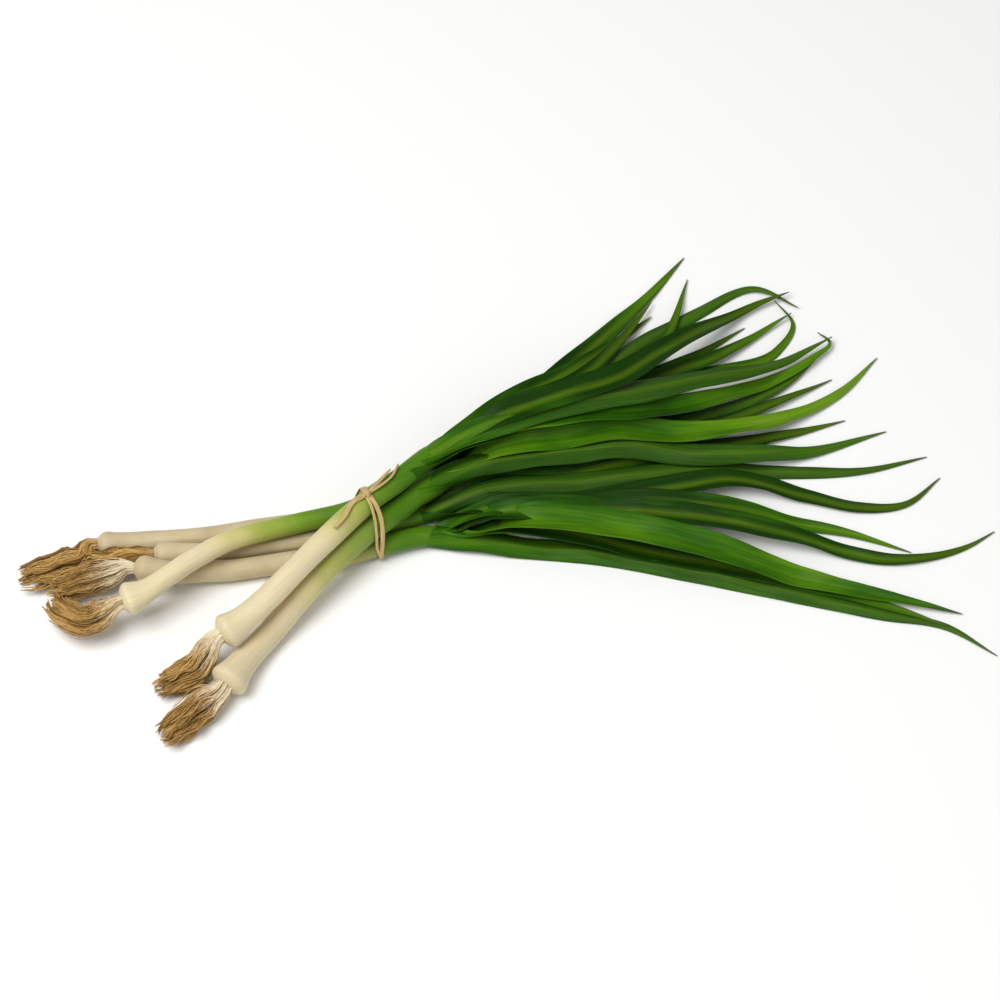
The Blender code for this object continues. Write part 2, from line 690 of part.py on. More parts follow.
def build_tie(stems, heap, collection):
    """The raffia: a band round the stems, a knot on top and three tails, as one body."""
    outline = band_outline(stems)
    pieces = [mesh_object("band", *band_mesh(outline), collection)]
    tops = heap.spread(np.maximum(heap.stem_map(), heap.blades))
    knot_level = float(heap.look(tops, np.array(KNOT_PLACE[0]), np.array(KNOT_PLACE[1]))) + 2.2
    for width, path in TAILS:
        line = smooth_line(path)
        side = side_of(line)
        needed = np.zeros(len(line))
        for share in (-0.6, 0.0, 0.6):
            spot = line + side * width * share
            needed = np.maximum(needed, heap.look(tops, spot[:, 0], spot[:, 1]))
        levels = drape(needed + TAIL_THICK / 2.0 + 0.8, 60.0)
        rows = list(range(0, len(line) - 1, 3)) + [len(line) - 1]
        mesh = ribbon_mesh(line[rows], levels[rows], width, TAIL_THICK)
        pieces.append(mesh_object("tail", *mesh, collection))
        knot_level = max(knot_level, levels[0])
    knot = [(KNOT_PLACE[0] + x, KNOT_PLACE[1] + x * 0.9, knot_level) for x in (-2.6, -1.6, 0.0, 1.6, 2.6)]
    mesh = tube_mesh(knot, [0.9, 1.8, KNOT_RADIUS * 0.8, 1.8, 0.9], 8)
    pieces.append(mesh_object("knot", *mesh, collection))
    result = fuse("raffia_tie", pieces, collection)
    return finish_object(result, "raffia")


def build_all():
    """Lay the onions one on another and tie them."""
    for old in list(bpy.data.objects):
        bpy.data.objects.remove(old)
    collection = bpy.data.collections.new("spring_onion_bunch")
    bpy.context.scene.collection.children.link(collection)
    heap = Heap()
    stems = []
    for onion in ONIONS:
        line = smooth_line(onion.path)
        run = np.arange(len(line), dtype=float)
        radii = stem_radius(onion, run, len(line) - 1.0)
        heights = heap.lay_cord(line, radii, onion.number)
        cut = int(np.argmin(np.abs(band_offset(line))))
        build_shank(onion, line, heights, radii, cut, collection)
        build_roots(onion, np.column_stack((line, heights)), heap, collection)
        build_leaves(onion, line, heights, radii, cut, heap, collection)
        stems.append((line, heights, radii))
    build_tie(stems, heap, collection)


build_all()
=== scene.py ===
"""Dresses the spring onion bunch: root tufts, white shanks, green leaves and a raffia tie.

Sizes are in millimetres and places are measured from the tie. Each finished piece is in metres, in
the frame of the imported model.
"""
import logging
import math
import random
from dataclasses import dataclass, field
from enum import Enum
from typing import Any

import bpy
import numpy as np
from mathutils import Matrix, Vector


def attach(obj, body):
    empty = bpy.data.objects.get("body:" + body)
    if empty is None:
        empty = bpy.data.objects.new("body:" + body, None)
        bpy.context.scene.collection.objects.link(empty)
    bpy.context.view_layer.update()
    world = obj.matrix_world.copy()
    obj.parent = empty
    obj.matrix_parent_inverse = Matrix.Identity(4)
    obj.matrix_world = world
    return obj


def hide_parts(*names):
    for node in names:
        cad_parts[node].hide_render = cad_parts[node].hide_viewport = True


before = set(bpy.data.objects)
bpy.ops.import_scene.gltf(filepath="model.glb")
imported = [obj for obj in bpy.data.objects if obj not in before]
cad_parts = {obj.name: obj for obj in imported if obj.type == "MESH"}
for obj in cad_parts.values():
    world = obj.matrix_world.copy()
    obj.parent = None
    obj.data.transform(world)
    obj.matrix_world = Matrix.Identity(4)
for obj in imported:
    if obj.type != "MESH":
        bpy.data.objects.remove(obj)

log = logging.getLogger("spring_onions")

MM = 0.001
TIE_X, TIE_Y = -62.8, -25.6

# The heap is laid by the same rule as the solids: gaps and tightest bends, the reach of its map, and
# how far the lowest stem is pressed flat where it rests.
STEM_GAP = 0.5
BLADE_GAP = 0.5
STEM_BEND = 110.0
BLADE_BEND = 90.0
MAP_HALF = 300
REST_FLAT = 0.35

# The band's plane leans from the Y axis, and the stems pass a little above the surface near it.
BAND_LEAN = math.radians(20.0)
BAND_WIDTH = 3.4
BAND_GAP = 0.35
BAND_LIFT = 1.5
BAND_NEAR = 4.0
BAND_REACH = 40.0

# A stem is rounded over its root plate, its bulb fades along it, and it closes at its far end.
PLATE_ROUND = 2.5
BULB_REACH = 10.0
CLOSING = 20.0

# Stations along which a blade still follows its stem.
HELD = 8

# Thickness of a blade, width of its tip, and how far from the plate a tuft's own line starts.
BLADE_THICK = 0.7
TIP_WIDTH = 1.0
ROOT_START = 0.4

# The skin's pattern is rolled round a cylinder, and each onion reads its own stretch of it.
PATTERN_RADIUS = 4.5
PATTERN_APART = 40.0

FULL_TURN = 2.0 * math.pi
# Waves start anywhere in a little over a full turn.
ANY_PHASE = 6.3

Place = tuple[float, float]
Faces = list[tuple[int, ...]]


class Slot(Enum):
    """The record's material slots."""

    ROOTS = "roots"
    SHANK = "shank"
    LEAVES = "leaves"
    RAFFIA = "raffia"


class Mark(Enum):
    """Names of the values that the meshes carry for their finishes."""

    SPOT = "spot"
    SHARE = "share"
    GREEN = "green"
    UNDER = "under"


@dataclass(frozen=True)
class Leaf:
    """One blade.

    Attributes:
        foot: where it leaves the stem, past the tie.
        width: its width where it is widest.
        path: the places that its rib passes.
        fold: how far each half is raised, in degrees.
        twist: its roll in degrees at even stops along it.
        tone: how much darker than the others it is, below 0 for a lighter one; partly the blade's own tone
            and partly painted shade that darkens blades lying low in the heap.
    """

    foot: float
    width: float
    path: tuple[Place, ...]
    fold: float = 14.0
    twist: tuple[float, ...] = (0.0, 0.0, 0.0, 0.0)
    tone: float = 0.0


@dataclass(frozen=True)
class Onion:
    """One plant.

    Attributes:
        number: its place in the heap, from the bottom.
        path: the places its stem passes, from the root plate to the fork.
        bulb: radius at the bulb.
        shank: radius of the white stem.
        fork: radius of the green stem.
        roots: the places its root tuft passes.
        root_spread: radius of the tuft.
        leaves: its blades, in the order they are laid.
        green_from: where along the stem the green starts.
        green_full: where the stem is fully green.
        white_roots: how much of the tuft is still white.
        warmth: how far the white skin is tinted darker beige in patches, from 0 to 1.
        tuft_width: width of the dressed tuft as a share of the solid one's.
    """

    number: int
    path: tuple[Place, ...]
    bulb: float
    shank: float
    fork: float
    roots: tuple[Place, ...]
    root_spread: float
    leaves: tuple[Leaf, ...]
    green_from: float = 75.0
    green_full: float = 125.0
    white_roots: float = 0.2
    warmth: float = 0.0
    tuft_width: float = 1.12


# A leaf's tone is partly its own and partly painted shade: blades that lie low in the heap are darkened.
ONION_1 = Onion(
    number=1,
    path=((-125, -4), (-102, -2), (-73, 1), (-51, 5), (-33, 8), (-10, 11), (5, 17), (19, 26), (36, 39)),
    bulb=5.2, shank=4.6, fork=4.3,
    roots=((-132, -10.5), (-147, -17.5), (-162, -23)), root_spread=6.5,
    leaves=(
        Leaf(foot=16, width=11, path=((68, 61), (104, 79), (132, 92), (152, 103), (174, 118)),
             tone=0.12),
        Leaf(foot=20, width=9.5, path=((70, 55), (104, 70), (152, 90), (188, 104), (196, 119), (187, 134)),
             twist=(0, 0, 20, 30)),
        Leaf(foot=12, width=10, path=((68, 50), (104, 58), (141, 65), (172, 75), (203, 96))),
    ),
    green_from=95.0, green_full=150.0, white_roots=-0.2, warmth=1.0, tuft_width=1.35,
)
ONION_2 = Onion(
    number=2,
    path=((-99, -11), (-73, -9), (-51, -5), (-33, -2), (-10, 1), (5, 5.5), (19, 10.5), (34, 16), (48, 20)),
    bulb=4.9, shank=4.5, fork=4.2,
    roots=((-107, -12), (-117, -13.5), (-131, -16)), root_spread=3.6,
    leaves=(
        Leaf(foot=18, width=11, path=((62, 37), (86, 43), (114, 48), (152, 66), (191, 85), (211, 105)),
             fold=-14, tone=0.1),
        Leaf(foot=14, width=12, path=((62, 17), (90, 20), (120, 28), (152, 42), (184, 54)), tone=0.2),
        Leaf(foot=24, width=12, path=((64, 26), (86, 30), (109, 37), (152, 48), (193, 58), (219, 66))),
        Leaf(foot=14, width=11, path=((64, 23), (86, 25), (123, 30), (172, 37), (230, 39), (256, 46)),
             fold=-14, tone=0.22),
        Leaf(foot=12, width=12.5, path=((44, 13), (66, 12), (104, 16), (143, 25), (162, 29), (199, 24),
                                        (223, 18), (245, 20), (262, 35)),
             twist=(0, 10, -15, 10), tone=0.1),
    ),
    green_from=70.0, green_full=130.0, white_roots=-0.2, warmth=0.9,
)
ONION_3 = Onion(
    number=3,
    path=((-107, -21), (-91, -23), (-73, -20), (-51, -16), (-33, -13), (-10, -10), (5, -5.5), (19, -1),
          (34, 2), (46, 3.5)),
    bulb=6.2, shank=5.2, fork=4.8,
    roots=((-118, -22.5), (-129, -26), (-141, -30), (-149, -32)), root_spread=6.8,
    leaves=(
        Leaf(foot=14, width=11.5, path=((46, -2), (68, -3.5), (104, -7), (150, -17), (196, -29), (233, -39),
                                      (260, -45), (284, -61)), fold=-12),
        Leaf(foot=20, width=12, path=((60, 1), (80, 0), (104, -3), (169, -16), (228, -33), (262, -46)),
             tone=0.1),
        Leaf(foot=14, width=12, path=((35, 6.5), (50, 9.5), (66, 10.5), (86, 11.5), (114, 14), (180, 11),
                                      (219, 4), (247, -6)), tone=0.04),
        Leaf(foot=18, width=12, path=((46, 6.5), (62, 6.5), (86, 8), (143, 6), (199, -2), (245, -10),
                                      (274, -2), (286, 6)), twist=(0, 10, -10, 15)),
        Leaf(foot=28, width=15, path=((68, 1.5), (104, -0.5), (123, -3.5), (150, -10), (187, -19.5),
                                      (224, -29), (269, -39)), fold=16, tone=-0.45),
    ),
    green_from=82.0, green_full=121.0, white_roots=0.28, warmth=0.8, tuft_width=1.3,
)
ONION_4 = Onion(
    number=4,
    path=((-112, -42), (-102, -38), (-92, -31), (-79, -21), (-65, -11), (-51, -4), (-33, 2), (-10, 8),
          (5, 16), (19, 28.5), (36, 44)),
    bulb=8.0, shank=4.9, fork=4.4,
    roots=((-121, -46), (-131, -48), (-139, -44), (-146, -36)), root_spread=6.8,
    leaves=(
        Leaf(foot=14, width=12, path=((60, 65), (86, 90), (105, 110), (125, 131), (146, 158))),
        Leaf(foot=10, width=12, path=((48, 55), (66, 72), (88, 89), (112, 107), (130, 124))),
        Leaf(foot=20, width=10.5, path=((68, 64), (104, 88), (131, 111), (152, 126), (178, 139),
                                        (199, 128)), fold=-14),
        Leaf(foot=24, width=9.5, path=((72, 65), (98, 84), (114, 105), (130, 131))),
        Leaf(foot=18, width=9.5, path=((70, 56), (92, 68), (116, 83), (136, 109), (147, 145))),
    ),
    green_from=36.0, green_full=126.0, white_roots=0.08, warmth=0.0,
)
ONION_5 = Onion(
    number=5,
    path=((-65, -81), (-60, -73), (-50, -58), (-41, -47), (-32, -36.5), (-19, -21.5), (0, -3.5), (17, 12),
          (30, 24.5), (43, 34)),
    bulb=8.8, shank=6.3, fork=5.0,
    roots=((-74, -89), (-84, -98), (-95, -107)), root_spread=7.2,
    leaves=(
        Leaf(foot=16, width=11, path=((60, 34), (86, 39), (114, 46), (148, 57), (188, 75), (214, 89)),
             tone=0.16),
        Leaf(foot=22, width=13, path=((72, 35), (95, 40), (118, 44), (152, 40), (192, 45), (238, 60)),
             fold=-14, twist=(0, -15, 20, 0), tone=0.06),
        Leaf(foot=28, width=13, path=((64, 40), (86, 45), (114, 52), (141, 51), (171, 57), (194, 67),
                                      (218, 82), (235, 101)), twist=(0, 15, -15, 0), tone=-0.4),
    ),
    green_from=44.0, green_full=122.0, white_roots=0.16, warmth=0.4,
)
ONION_6 = Onion(
    number=6,
    path=((-67, -60), (-54, -51), (-45, -43), (-36, -33.5), (-27, -23.5), (-18, -13.5), (-8, -2), (4, 10.5),
          (14, 19), (27, 30.5), (40, 41)),
    bulb=8.2, shank=5.8, fork=5.0,
    roots=((-76, -69), (-86, -75.5), (-98, -81)), root_spread=7.0,
    leaves=(
        Leaf(foot=14, width=12, path=((60, 46), (86, 58), (123, 76), (152, 94), (196, 125))),
        Leaf(foot=20, width=12, path=((68, 48), (95, 54), (143, 65), (172, 79), (205, 99), (213, 108),
                                      (207, 114)), tone=-0.22),
        Leaf(foot=26, width=13, path=((66, 48), (95, 59), (123, 67), (152, 78), (181, 89), (214, 110)),
             fold=-14),
        Leaf(foot=32, width=13.5, path=((68, 52), (91, 62), (114, 73), (133, 90), (152, 108), (172, 125),
                                        (195, 136)), fold=16),
    ),
    green_from=52.0, green_full=114.0, white_roots=0.16, warmth=0.12,
)
ONIONS = (ONION_1, ONION_2, ONION_3, ONION_4, ONION_5, ONION_6)


def smooth_step(value: np.ndarray | float) -> np.ndarray:
    """Rise from 0 to 1 with flat ends.

    Args:
        value: any number, where 0 and 1 are the ends of the rise.

    Returns:
        The eased value.
    """
    value = np.clip(value, 0.0, 1.0)
    return value * value * (3.0 - 2.0 * value)


def past_tie(x: Any, y: Any) -> Any:
    """Distance past the band's plane."""
    return x * math.cos(BAND_LEAN) + y * math.sin(BAND_LEAN)


def distances(line: np.ndarray) -> np.ndarray:
    """Distance of each point of a line from its first."""
    return np.concatenate(([0.0], np.cumsum(np.linalg.norm(np.diff(line, axis=0), axis=1))))


def read_rows(table: np.ndarray, places: np.ndarray, own: np.ndarray) -> np.ndarray:
    """Read a table between its rows.

    Args:
        table: the rows.
        places: the places to read at.
        own: the place of each of the table's rows, rising.

    Returns:
        One row for each place.
    """
    return np.column_stack([np.interp(places, own, column) for column in table.T])


def smooth_line(places: Any) -> np.ndarray:
    """Lay even stations on a smooth line.

    Args:
        places: the places that the line passes.

    Returns:
        Stations one millimetre apart.
    """
    places = np.array(places, float)
    knots = distances(places)
    slopes = np.gradient(places, knots, axis=0)
    fine = np.arange(0.0, knots[-1], 0.25)
    span = np.clip(np.searchsorted(knots, fine, side="right") - 1, 0, len(knots) - 2)
    width = (knots[span + 1] - knots[span])[:, None]
    t = (fine - knots[span])[:, None] / width
    line = ((2 * t**3 - 3 * t**2 + 1) * places[span] + (t**3 - 2 * t**2 + t) * width * slopes[span]
            + (3 * t**2 - 2 * t**3) * places[span + 1] + (t**3 - t**2) * width * slopes[span + 1])
    run = distances(line)
    return read_rows(line, np.arange(0.0, run[-1], 1.0), run)


def directions(line: Any) -> np.ndarray:
    """Unit vectors along a line of points.

    Args:
        line: the points, flat or in space.

    Returns:
        One direction for each point.
    """
    ahead = np.gradient(np.array(line, float), axis=0)
    return ahead / np.linalg.norm(ahead, axis=1)[:, None]


def side_of(line: np.ndarray) -> np.ndarray:
    """Unit vectors to the left of a flat line.

    Args:
        line: the flat points.

    Returns:
        One flat vector for each point.
    """
    ahead = directions(line)
    return np.column_stack((-ahead[:, 1], ahead[:, 0]))


def drape(needed: np.ndarray, bend: float) -> np.ndarray:
    """Find the lowest heights that clear the needed ones and arch no tighter than a radius.

    Args:
        needed: the least height at each station.
        bend: the tightest radius.

    Returns:
        The height at each station.
    """
    run = np.arange(len(needed))
    tents = needed[None, :] - (run[:, None] - run[None, :]) ** 2 / (2.0 * bend)
    heights = tents.max(axis=1)
    reach, passes = 3, 6
    window = 2 * reach + 1
    for _ in range(passes):
        padded = np.pad(heights, reach, mode="edge")
        blurred = np.convolve(padded, np.ones(window) / window, mode="valid")
        heights = np.maximum(blurred, needed)
    return heights


@dataclass
class Heap:
    """What already lies on the surface.

    Attributes:
        balls: the stems, as rows of balls (x, y, z, radius).
        owners: the onion each ball belongs to.
        blades: height map of the blades, one cell a millimetre.
    """

    balls: np.ndarray = field(default_factory=lambda: np.zeros((0, 4)))
    owners: np.ndarray = field(default_factory=lambda: np.zeros(0, int))
    blades: np.ndarray = field(default_factory=lambda: np.zeros((2 * MAP_HALF, 2 * MAP_HALF)))

    def spread(self, heights: np.ndarray) -> np.ndarray:
        """Raise each cell of a map to its highest neighbour.

        Args:
            heights: the map.

        Returns:
            The raised map.
        """
        padded = np.pad(heights, 1, mode="edge")
        size = heights.shape[0]
        shifts = [padded[i:i + size, j:j + size] for i in range(3) for j in range(3)]
        return np.maximum.reduce(shifts)

    def look(self, heights: np.ndarray, x: Any, y: Any) -> np.ndarray:
        """Read a map.

        Args:
            heights: the map.
            x: places along X.
            y: places along Y.

        Returns:
            The height at each place.
        """
        column = np.clip(np.round(x).astype(int) + MAP_HALF, 0, 2 * MAP_HALF - 1)
        row = np.clip(np.round(y).astype(int) + MAP_HALF, 0, 2 * MAP_HALF - 1)
        return heights[column, row]

    def floor(self, x: np.ndarray, y: np.ndarray) -> np.ndarray:
        """Height of the surface, with the thickness of the band under the tie.

        Args:
            x: places along X.
            y: places along Y.

        Returns:
            The height at each place.
        """
        near = (np.abs(past_tie(x, y)) < BAND_NEAR) & (np.hypot(x, y) < BAND_REACH)
        return np.where(near, BAND_LIFT, 0.0)

    def lay_cord(self, line: np.ndarray, radii: np.ndarray, owner: int) -> np.ndarray:
        """Lay a stem or a tuft over the heap.

        Args:
            line: its stations.
            radii: its radius at each station.
            owner: the number of its onion, whose own balls don't lift it.

        Returns:
            The height of its middle at each station.
        """
        side = side_of(line)
        needed = radii - REST_FLAT + self.floor(line[:, 0], line[:, 1])
        other = self.balls[self.owners != owner]
        if len(other):
            off = np.linalg.norm(line[:, None, :] - other[None, :, :2], axis=2)
            reach = radii[:, None] + other[None, :, 3] + STEM_GAP
            lift = other[None, :, 2] + np.sqrt(np.clip(reach**2 - off**2, 0.0, None))
            needed = np.maximum(needed, np.where(off < reach, lift, 0.0).max(axis=1))
        blades = self.spread(self.blades)
        for share in np.linspace(-1.0, 1.0, 9):
            across = line + side * (radii * share)[:, None]
            below = self.look(blades, across[:, 0], across[:, 1])
            touch = below + radii * math.sqrt(1.0 - share**2) + STEM_GAP
            needed = np.maximum(needed, np.where(below > 0.0, touch, 0.0))
        heights = drape(needed, STEM_BEND)
        balls = np.column_stack((line, heights, radii))
        self.balls = np.vstack((self.balls, balls))
        self.owners = np.concatenate((self.owners, np.full(len(balls), owner)))
        return heights

    def stem_map(self, skipped: int = 0) -> np.ndarray:
        """Draw the height map of the stems.

        Args:
            skipped: the number of an onion to leave out.

        Returns:
            The map.
        """
        heights = np.zeros_like(self.blades)
        for x, y, z, radius in self.balls[self.owners != skipped]:
            reach = int(radius) + 1
            for i in range(int(x) - reach, int(x) + reach + 1):
                for j in range(int(y) - reach, int(y) + reach + 1):
                    rest = radius**2 - (i - x) ** 2 - (j - y) ** 2
                    if rest > 0.0:
                        cell = (i + MAP_HALF, j + MAP_HALF)
                        heights[cell] = max(heights[cell], z + math.sqrt(rest))
        return heights

    def lay_blade(self, line: np.ndarray, sections: np.ndarray, start: np.ndarray, own: np.ndarray,
                  others: np.ndarray) -> np.ndarray:
        """Lay a blade over the heap.

        Args:
            line: its stations.
            sections: the offsets of its section at each station.
            start: heights of the stem that it grows out of.
            own: height map of all stems.
            others: height map of what belongs to other onions.

        Returns:
            The height of its rib at each station.
        """
        side = side_of(line)
        run = np.arange(len(line), dtype=float)
        ramp = smooth_step((run - 12.0) / 33.0)
        needed = np.full(len(line), BLADE_THICK / 2.0)
        every = self.spread(np.maximum(own, self.blades))
        other = self.spread(others)
        for index in range(sections.shape[1]):
            place = line + side * sections[:, index, 0][:, None]
            above = BLADE_THICK / 2.0 + BLADE_GAP - sections[:, index, 1]
            outer = self.look(other, place[:, 0], place[:, 1])
            inner = self.look(every, place[:, 0], place[:, 1])
            base = np.maximum(outer + above - BLADE_GAP * (outer <= 0.0), 0.0)
            full = np.maximum(inner + above - BLADE_GAP * (inner <= 0.0), base)
            needed = np.maximum(needed, base + (full - base) * ramp)
        held = run < HELD
        needed[held] = start[:int(held.sum())]
        heights = drape(needed, BLADE_BEND)
        heights[held] = start[:int(held.sum())]
        for index in range(sections.shape[1]):
            place = line + side * sections[:, index, 0][:, None]
            column = np.round(place[:, 0]).astype(int) + MAP_HALF
            row = np.round(place[:, 1]).astype(int) + MAP_HALF
            top = heights + sections[:, index, 1] + BLADE_THICK / 2.0
            np.maximum.at(self.blades, (column, row), top)
        return heights


@dataclass
class Sheet:
    """Points, faces and marks of a mesh while it is put together.

    Attributes:
        points: the points of each body, in millimetres from the tie.
        faces: the corners of each face.
        slots: the finish that each face takes.
        spots: where each body's points read the finish's pattern.
        values: single numbers a point, for each mark.
        count: number of points so far.
    """

    points: list[np.ndarray] = field(default_factory=list)
    faces: Faces = field(default_factory=list)
    slots: list[int] = field(default_factory=list)
    spots: list[np.ndarray] = field(default_factory=list)
    values: dict[Mark, list[np.ndarray]] = field(default_factory=dict)
    count: int = 0

    def add(self, points: np.ndarray, faces: Faces, spots: np.ndarray, slot: int = 0,
            **values: np.ndarray) -> None:
        """Add a closed body.

        Args:
            points: its points in millimetres from the tie.
            faces: its faces, numbered from its own first point.
            spots: three numbers a point that the finish reads its pattern from.
            slot: the finish it takes, where the piece has several.
            **values: single numbers a point, by the name of their mark.
        """
        self.points.append(points)
        self.faces.extend(tuple(corner + self.count for corner in face) for face in faces)
        self.slots.extend([slot] * len(faces))
        self.spots.append(spots)
        for mark in (Mark.SHARE, Mark.GREEN, Mark.UNDER):
            value = np.broadcast_to(values.get(mark.value, 0.0), (len(points),))
            self.values.setdefault(mark, []).append(value)
        self.count += len(points)

    def piece(self, name: str, finishes: list[bpy.types.Material]) -> bpy.types.Object:
        """Make the object.

        Args:
            name: the object's name.
            finishes: its materials in slot order.

        Returns:
            The object, in metres.
        """
        points = np.concatenate(self.points)
        points = (points + np.array((TIE_X, TIE_Y, 0.0))) * MM
        mesh = bpy.data.meshes.new(name)
        mesh.from_pydata(points.tolist(), [], self.faces)
        for finish in finishes:
            mesh.materials.append(finish)
        mesh.polygons.foreach_set("material_index", self.slots)
        mesh.polygons.foreach_set("use_smooth", [True] * len(mesh.polygons))
        spot = mesh.attributes.new(Mark.SPOT.value, "FLOAT_VECTOR", "POINT")
        spot.data.foreach_set("vector", np.concatenate(self.spots).astype(np.float32).ravel())
        for mark, parts in self.values.items():
            value = mesh.attributes.new(mark.value, "FLOAT", "POINT")
            value.data.foreach_set("value", np.concatenate(parts).astype(np.float32))
        mesh.update()
        result = bpy.data.objects.new(name, mesh)
        bpy.context.scene.collection.objects.link(result)
        return result


def tube(line: np.ndarray, radii: np.ndarray, sides: int, ahead: np.ndarray | None = None,
         flat: float = 1.0) -> tuple[np.ndarray, Faces, np.ndarray]:
    """Make a closed tube along a line of points.

    Args:
        line: the points of its middle.
        radii: radius at each point, or at each point and side.
        sides: corners of a ring.
        ahead: direction at each point, or None to take it from the line.
        flat: height of a ring as a share of its width.

    Returns:
        The points, the faces, and the angle of each point round the tube.
    """
    ahead = directions(line) if ahead is None else ahead
    side = np.cross(np.array((0.0, 0.0, 1.0)), ahead)
    side /= np.linalg.norm(side, axis=1)[:, None]
    up = np.cross(ahead, side)
    angles = np.linspace(0.0, FULL_TURN, sides, endpoint=False)
    radii = np.broadcast_to(np.atleast_2d(radii).reshape(len(line), -1), (len(line), sides))
    out = radii[:, :, None] * (np.cos(angles)[None, :, None] * side[:, None, :]
                               + flat * np.sin(angles)[None, :, None] * up[:, None, :])
    points = (line[:, None, :] + out).reshape(-1, 3)
    faces: Faces = []
    for ring in range(len(line) - 1):
        for index in range(sides):
            a = ring * sides + index
            b = ring * sides + (index + 1) % sides
            faces.append((a, b, b + sides, a + sides))
    faces.append(tuple(reversed(range(sides))))
    faces.append(tuple(range((len(line) - 1) * sides, len(line) * sides)))
    return points, faces, np.tile(angles, len(line))


def strip(middle: np.ndarray, half_thick: np.ndarray,
          normal: np.ndarray) -> tuple[np.ndarray, Faces]:
    """Make a closed strip from the rows of its middle surface.

    Args:
        middle: points, rows by columns by three.
        half_thick: half the thickness at each point, for the upper and the lower face.
        normal: outward direction of the upper face at each point.

    Returns:
        The points, upper face first, and the faces.
    """
    rows, columns = middle.shape[:2]
    upper = middle + normal * half_thick[0][:, :, None]
    lower = middle - normal * half_thick[1][:, :, None]
    points = np.concatenate((upper.reshape(-1, 3), lower.reshape(-1, 3)))
    down = rows * columns
    faces: Faces = []
    for row in range(rows - 1):
        for column in range(columns - 1):
            a = row * columns + column
            faces.append((a, a + columns, a + columns + 1, a + 1))
            faces.append((down + a, down + a + 1, down + a + columns + 1, down + a + columns))
        for column, turned in ((0, False), (columns - 1, True)):
            a = row * columns + column
            face = (a, down + a, down + a + columns, a + columns)
            faces.append(tuple(reversed(face)) if turned else face)
    for row, turned in ((0, True), (rows - 1, False)):
        for column in range(columns - 1):
            a = row * columns + column
            face = (a, down + a, down + a + 1, a + 1)
            faces.append(face if turned else tuple(reversed(face)))
    return points, faces


@dataclass
class Stem:
    """A stem as it lies in the heap.

    Attributes:
        onion: its sizes.
        line: its stations.
        heights: the height of its middle at each station.
        radii: its radius at each station.
        cut: the station under the band, where the white shank ends.
    """

    onion: Onion
    line: np.ndarray
    heights: np.ndarray
    radii: np.ndarray
    cut: int

    @classmethod
    def lay(cls, onion: Onion, heap: Heap) -> "Stem":
        """Lay an onion's stem over the heap.

        Args:
            onion: its sizes.
            heap: what lies there already.

        Returns:
            The stem in its place.
        """
        line = smooth_line(onion.path)
        run = np.arange(len(line), dtype=float)
        radii = cls.radius(onion, run, len(line) - 1.0)
        heights = heap.lay_cord(line, radii, onion.number)
        cut = int(np.argmin(np.abs(past_tie(line[:, 0], line[:, 1]))))
        return cls(onion, line, heights, radii, cut)

    @staticmethod
    def radius(onion: Onion, run: np.ndarray, length: float) -> np.ndarray:
        """Radius along the stem: rounded root plate, bulb, shank, and thinner to the fork.

        Args:
            onion: its sizes.
            run: distances from the root plate.
            length: length of the whole stem.

        Returns:
            The radius at each distance.
        """
        rounded = 0.7 + 0.3 * np.sin(np.clip(run / PLATE_ROUND, 0.0, 1.0) * math.pi / 2.0)
        swell = (onion.bulb - onion.shank) * np.exp(-((run / BULB_REACH) ** 2))
        thin = (onion.shank - onion.fork) * smooth_step((run / length - 0.4) / 0.5)
        closing = 1.0 - 0.75 * smooth_step((run - length + CLOSING) / CLOSING)
        return rounded * (onion.shank + swell - thin) * closing

    def middle(self) -> np.ndarray:
        """Stations of the stem's middle in space."""
        return np.column_stack((self.line, self.heights))

    def rings(self, rows: np.ndarray) -> tuple[np.ndarray, np.ndarray, np.ndarray]:
        """Find the middle, the direction and the radius of rings round the stem.

        Args:
            rows: distances of the rings from the root plate.

        Returns:
            The middles in space, unit directions and radii.
        """
        own = np.arange(len(self.line), dtype=float)
        ahead = read_rows(directions(self.middle()), rows, own)
        ahead /= np.linalg.norm(ahead, axis=1)[:, None]
        return read_rows(self.middle(), rows, own), ahead, np.interp(rows, own, self.radii)

    def spots(self, turn: np.ndarray, run: np.ndarray) -> np.ndarray:
        """Find where points round the stem read the skin's pattern.

        Args:
            turn: angle of each point round the stem.
            run: its distance from the root plate.

        Returns:
            Three numbers a point.
        """
        own = PATTERN_APART * self.onion.number
        return np.column_stack((np.cos(turn) * PATTERN_RADIUS + own, np.sin(turn) * PATTERN_RADIUS, run))

    def green(self, run: np.ndarray) -> np.ndarray:
        """How green the stem is at each distance from the root plate."""
        return smooth_step((run - self.onion.green_from) / (self.onion.green_full - self.onion.green_from))


def linear(colour: str) -> tuple[float, float, float, float]:
    """Turn an sRGB hex colour into linear light.

    Args:
        colour: a colour such as "#A0B070".

    Returns:
        Red, green, blue and an opacity of 1.
    """
    parts = [int(colour[i:i + 2], 16) / 255.0 for i in (1, 3, 5)]
    red, green, blue = [p / 12.92 if p <= 0.04045 else ((p + 0.055) / 1.055) ** 2.4 for p in parts]
    return red, green, blue, 1.0


def main_output(source: bpy.types.Node | bpy.types.NodeSocket) -> bpy.types.NodeSocket:
    """Find the first output of a node that is in use.

    Args:
        source: the node, or a socket, which is returned as it is.

    Returns:
        The output.
    """
    if isinstance(source, bpy.types.NodeSocket):
        return source
    return next(socket for socket in source.outputs if socket.enabled)


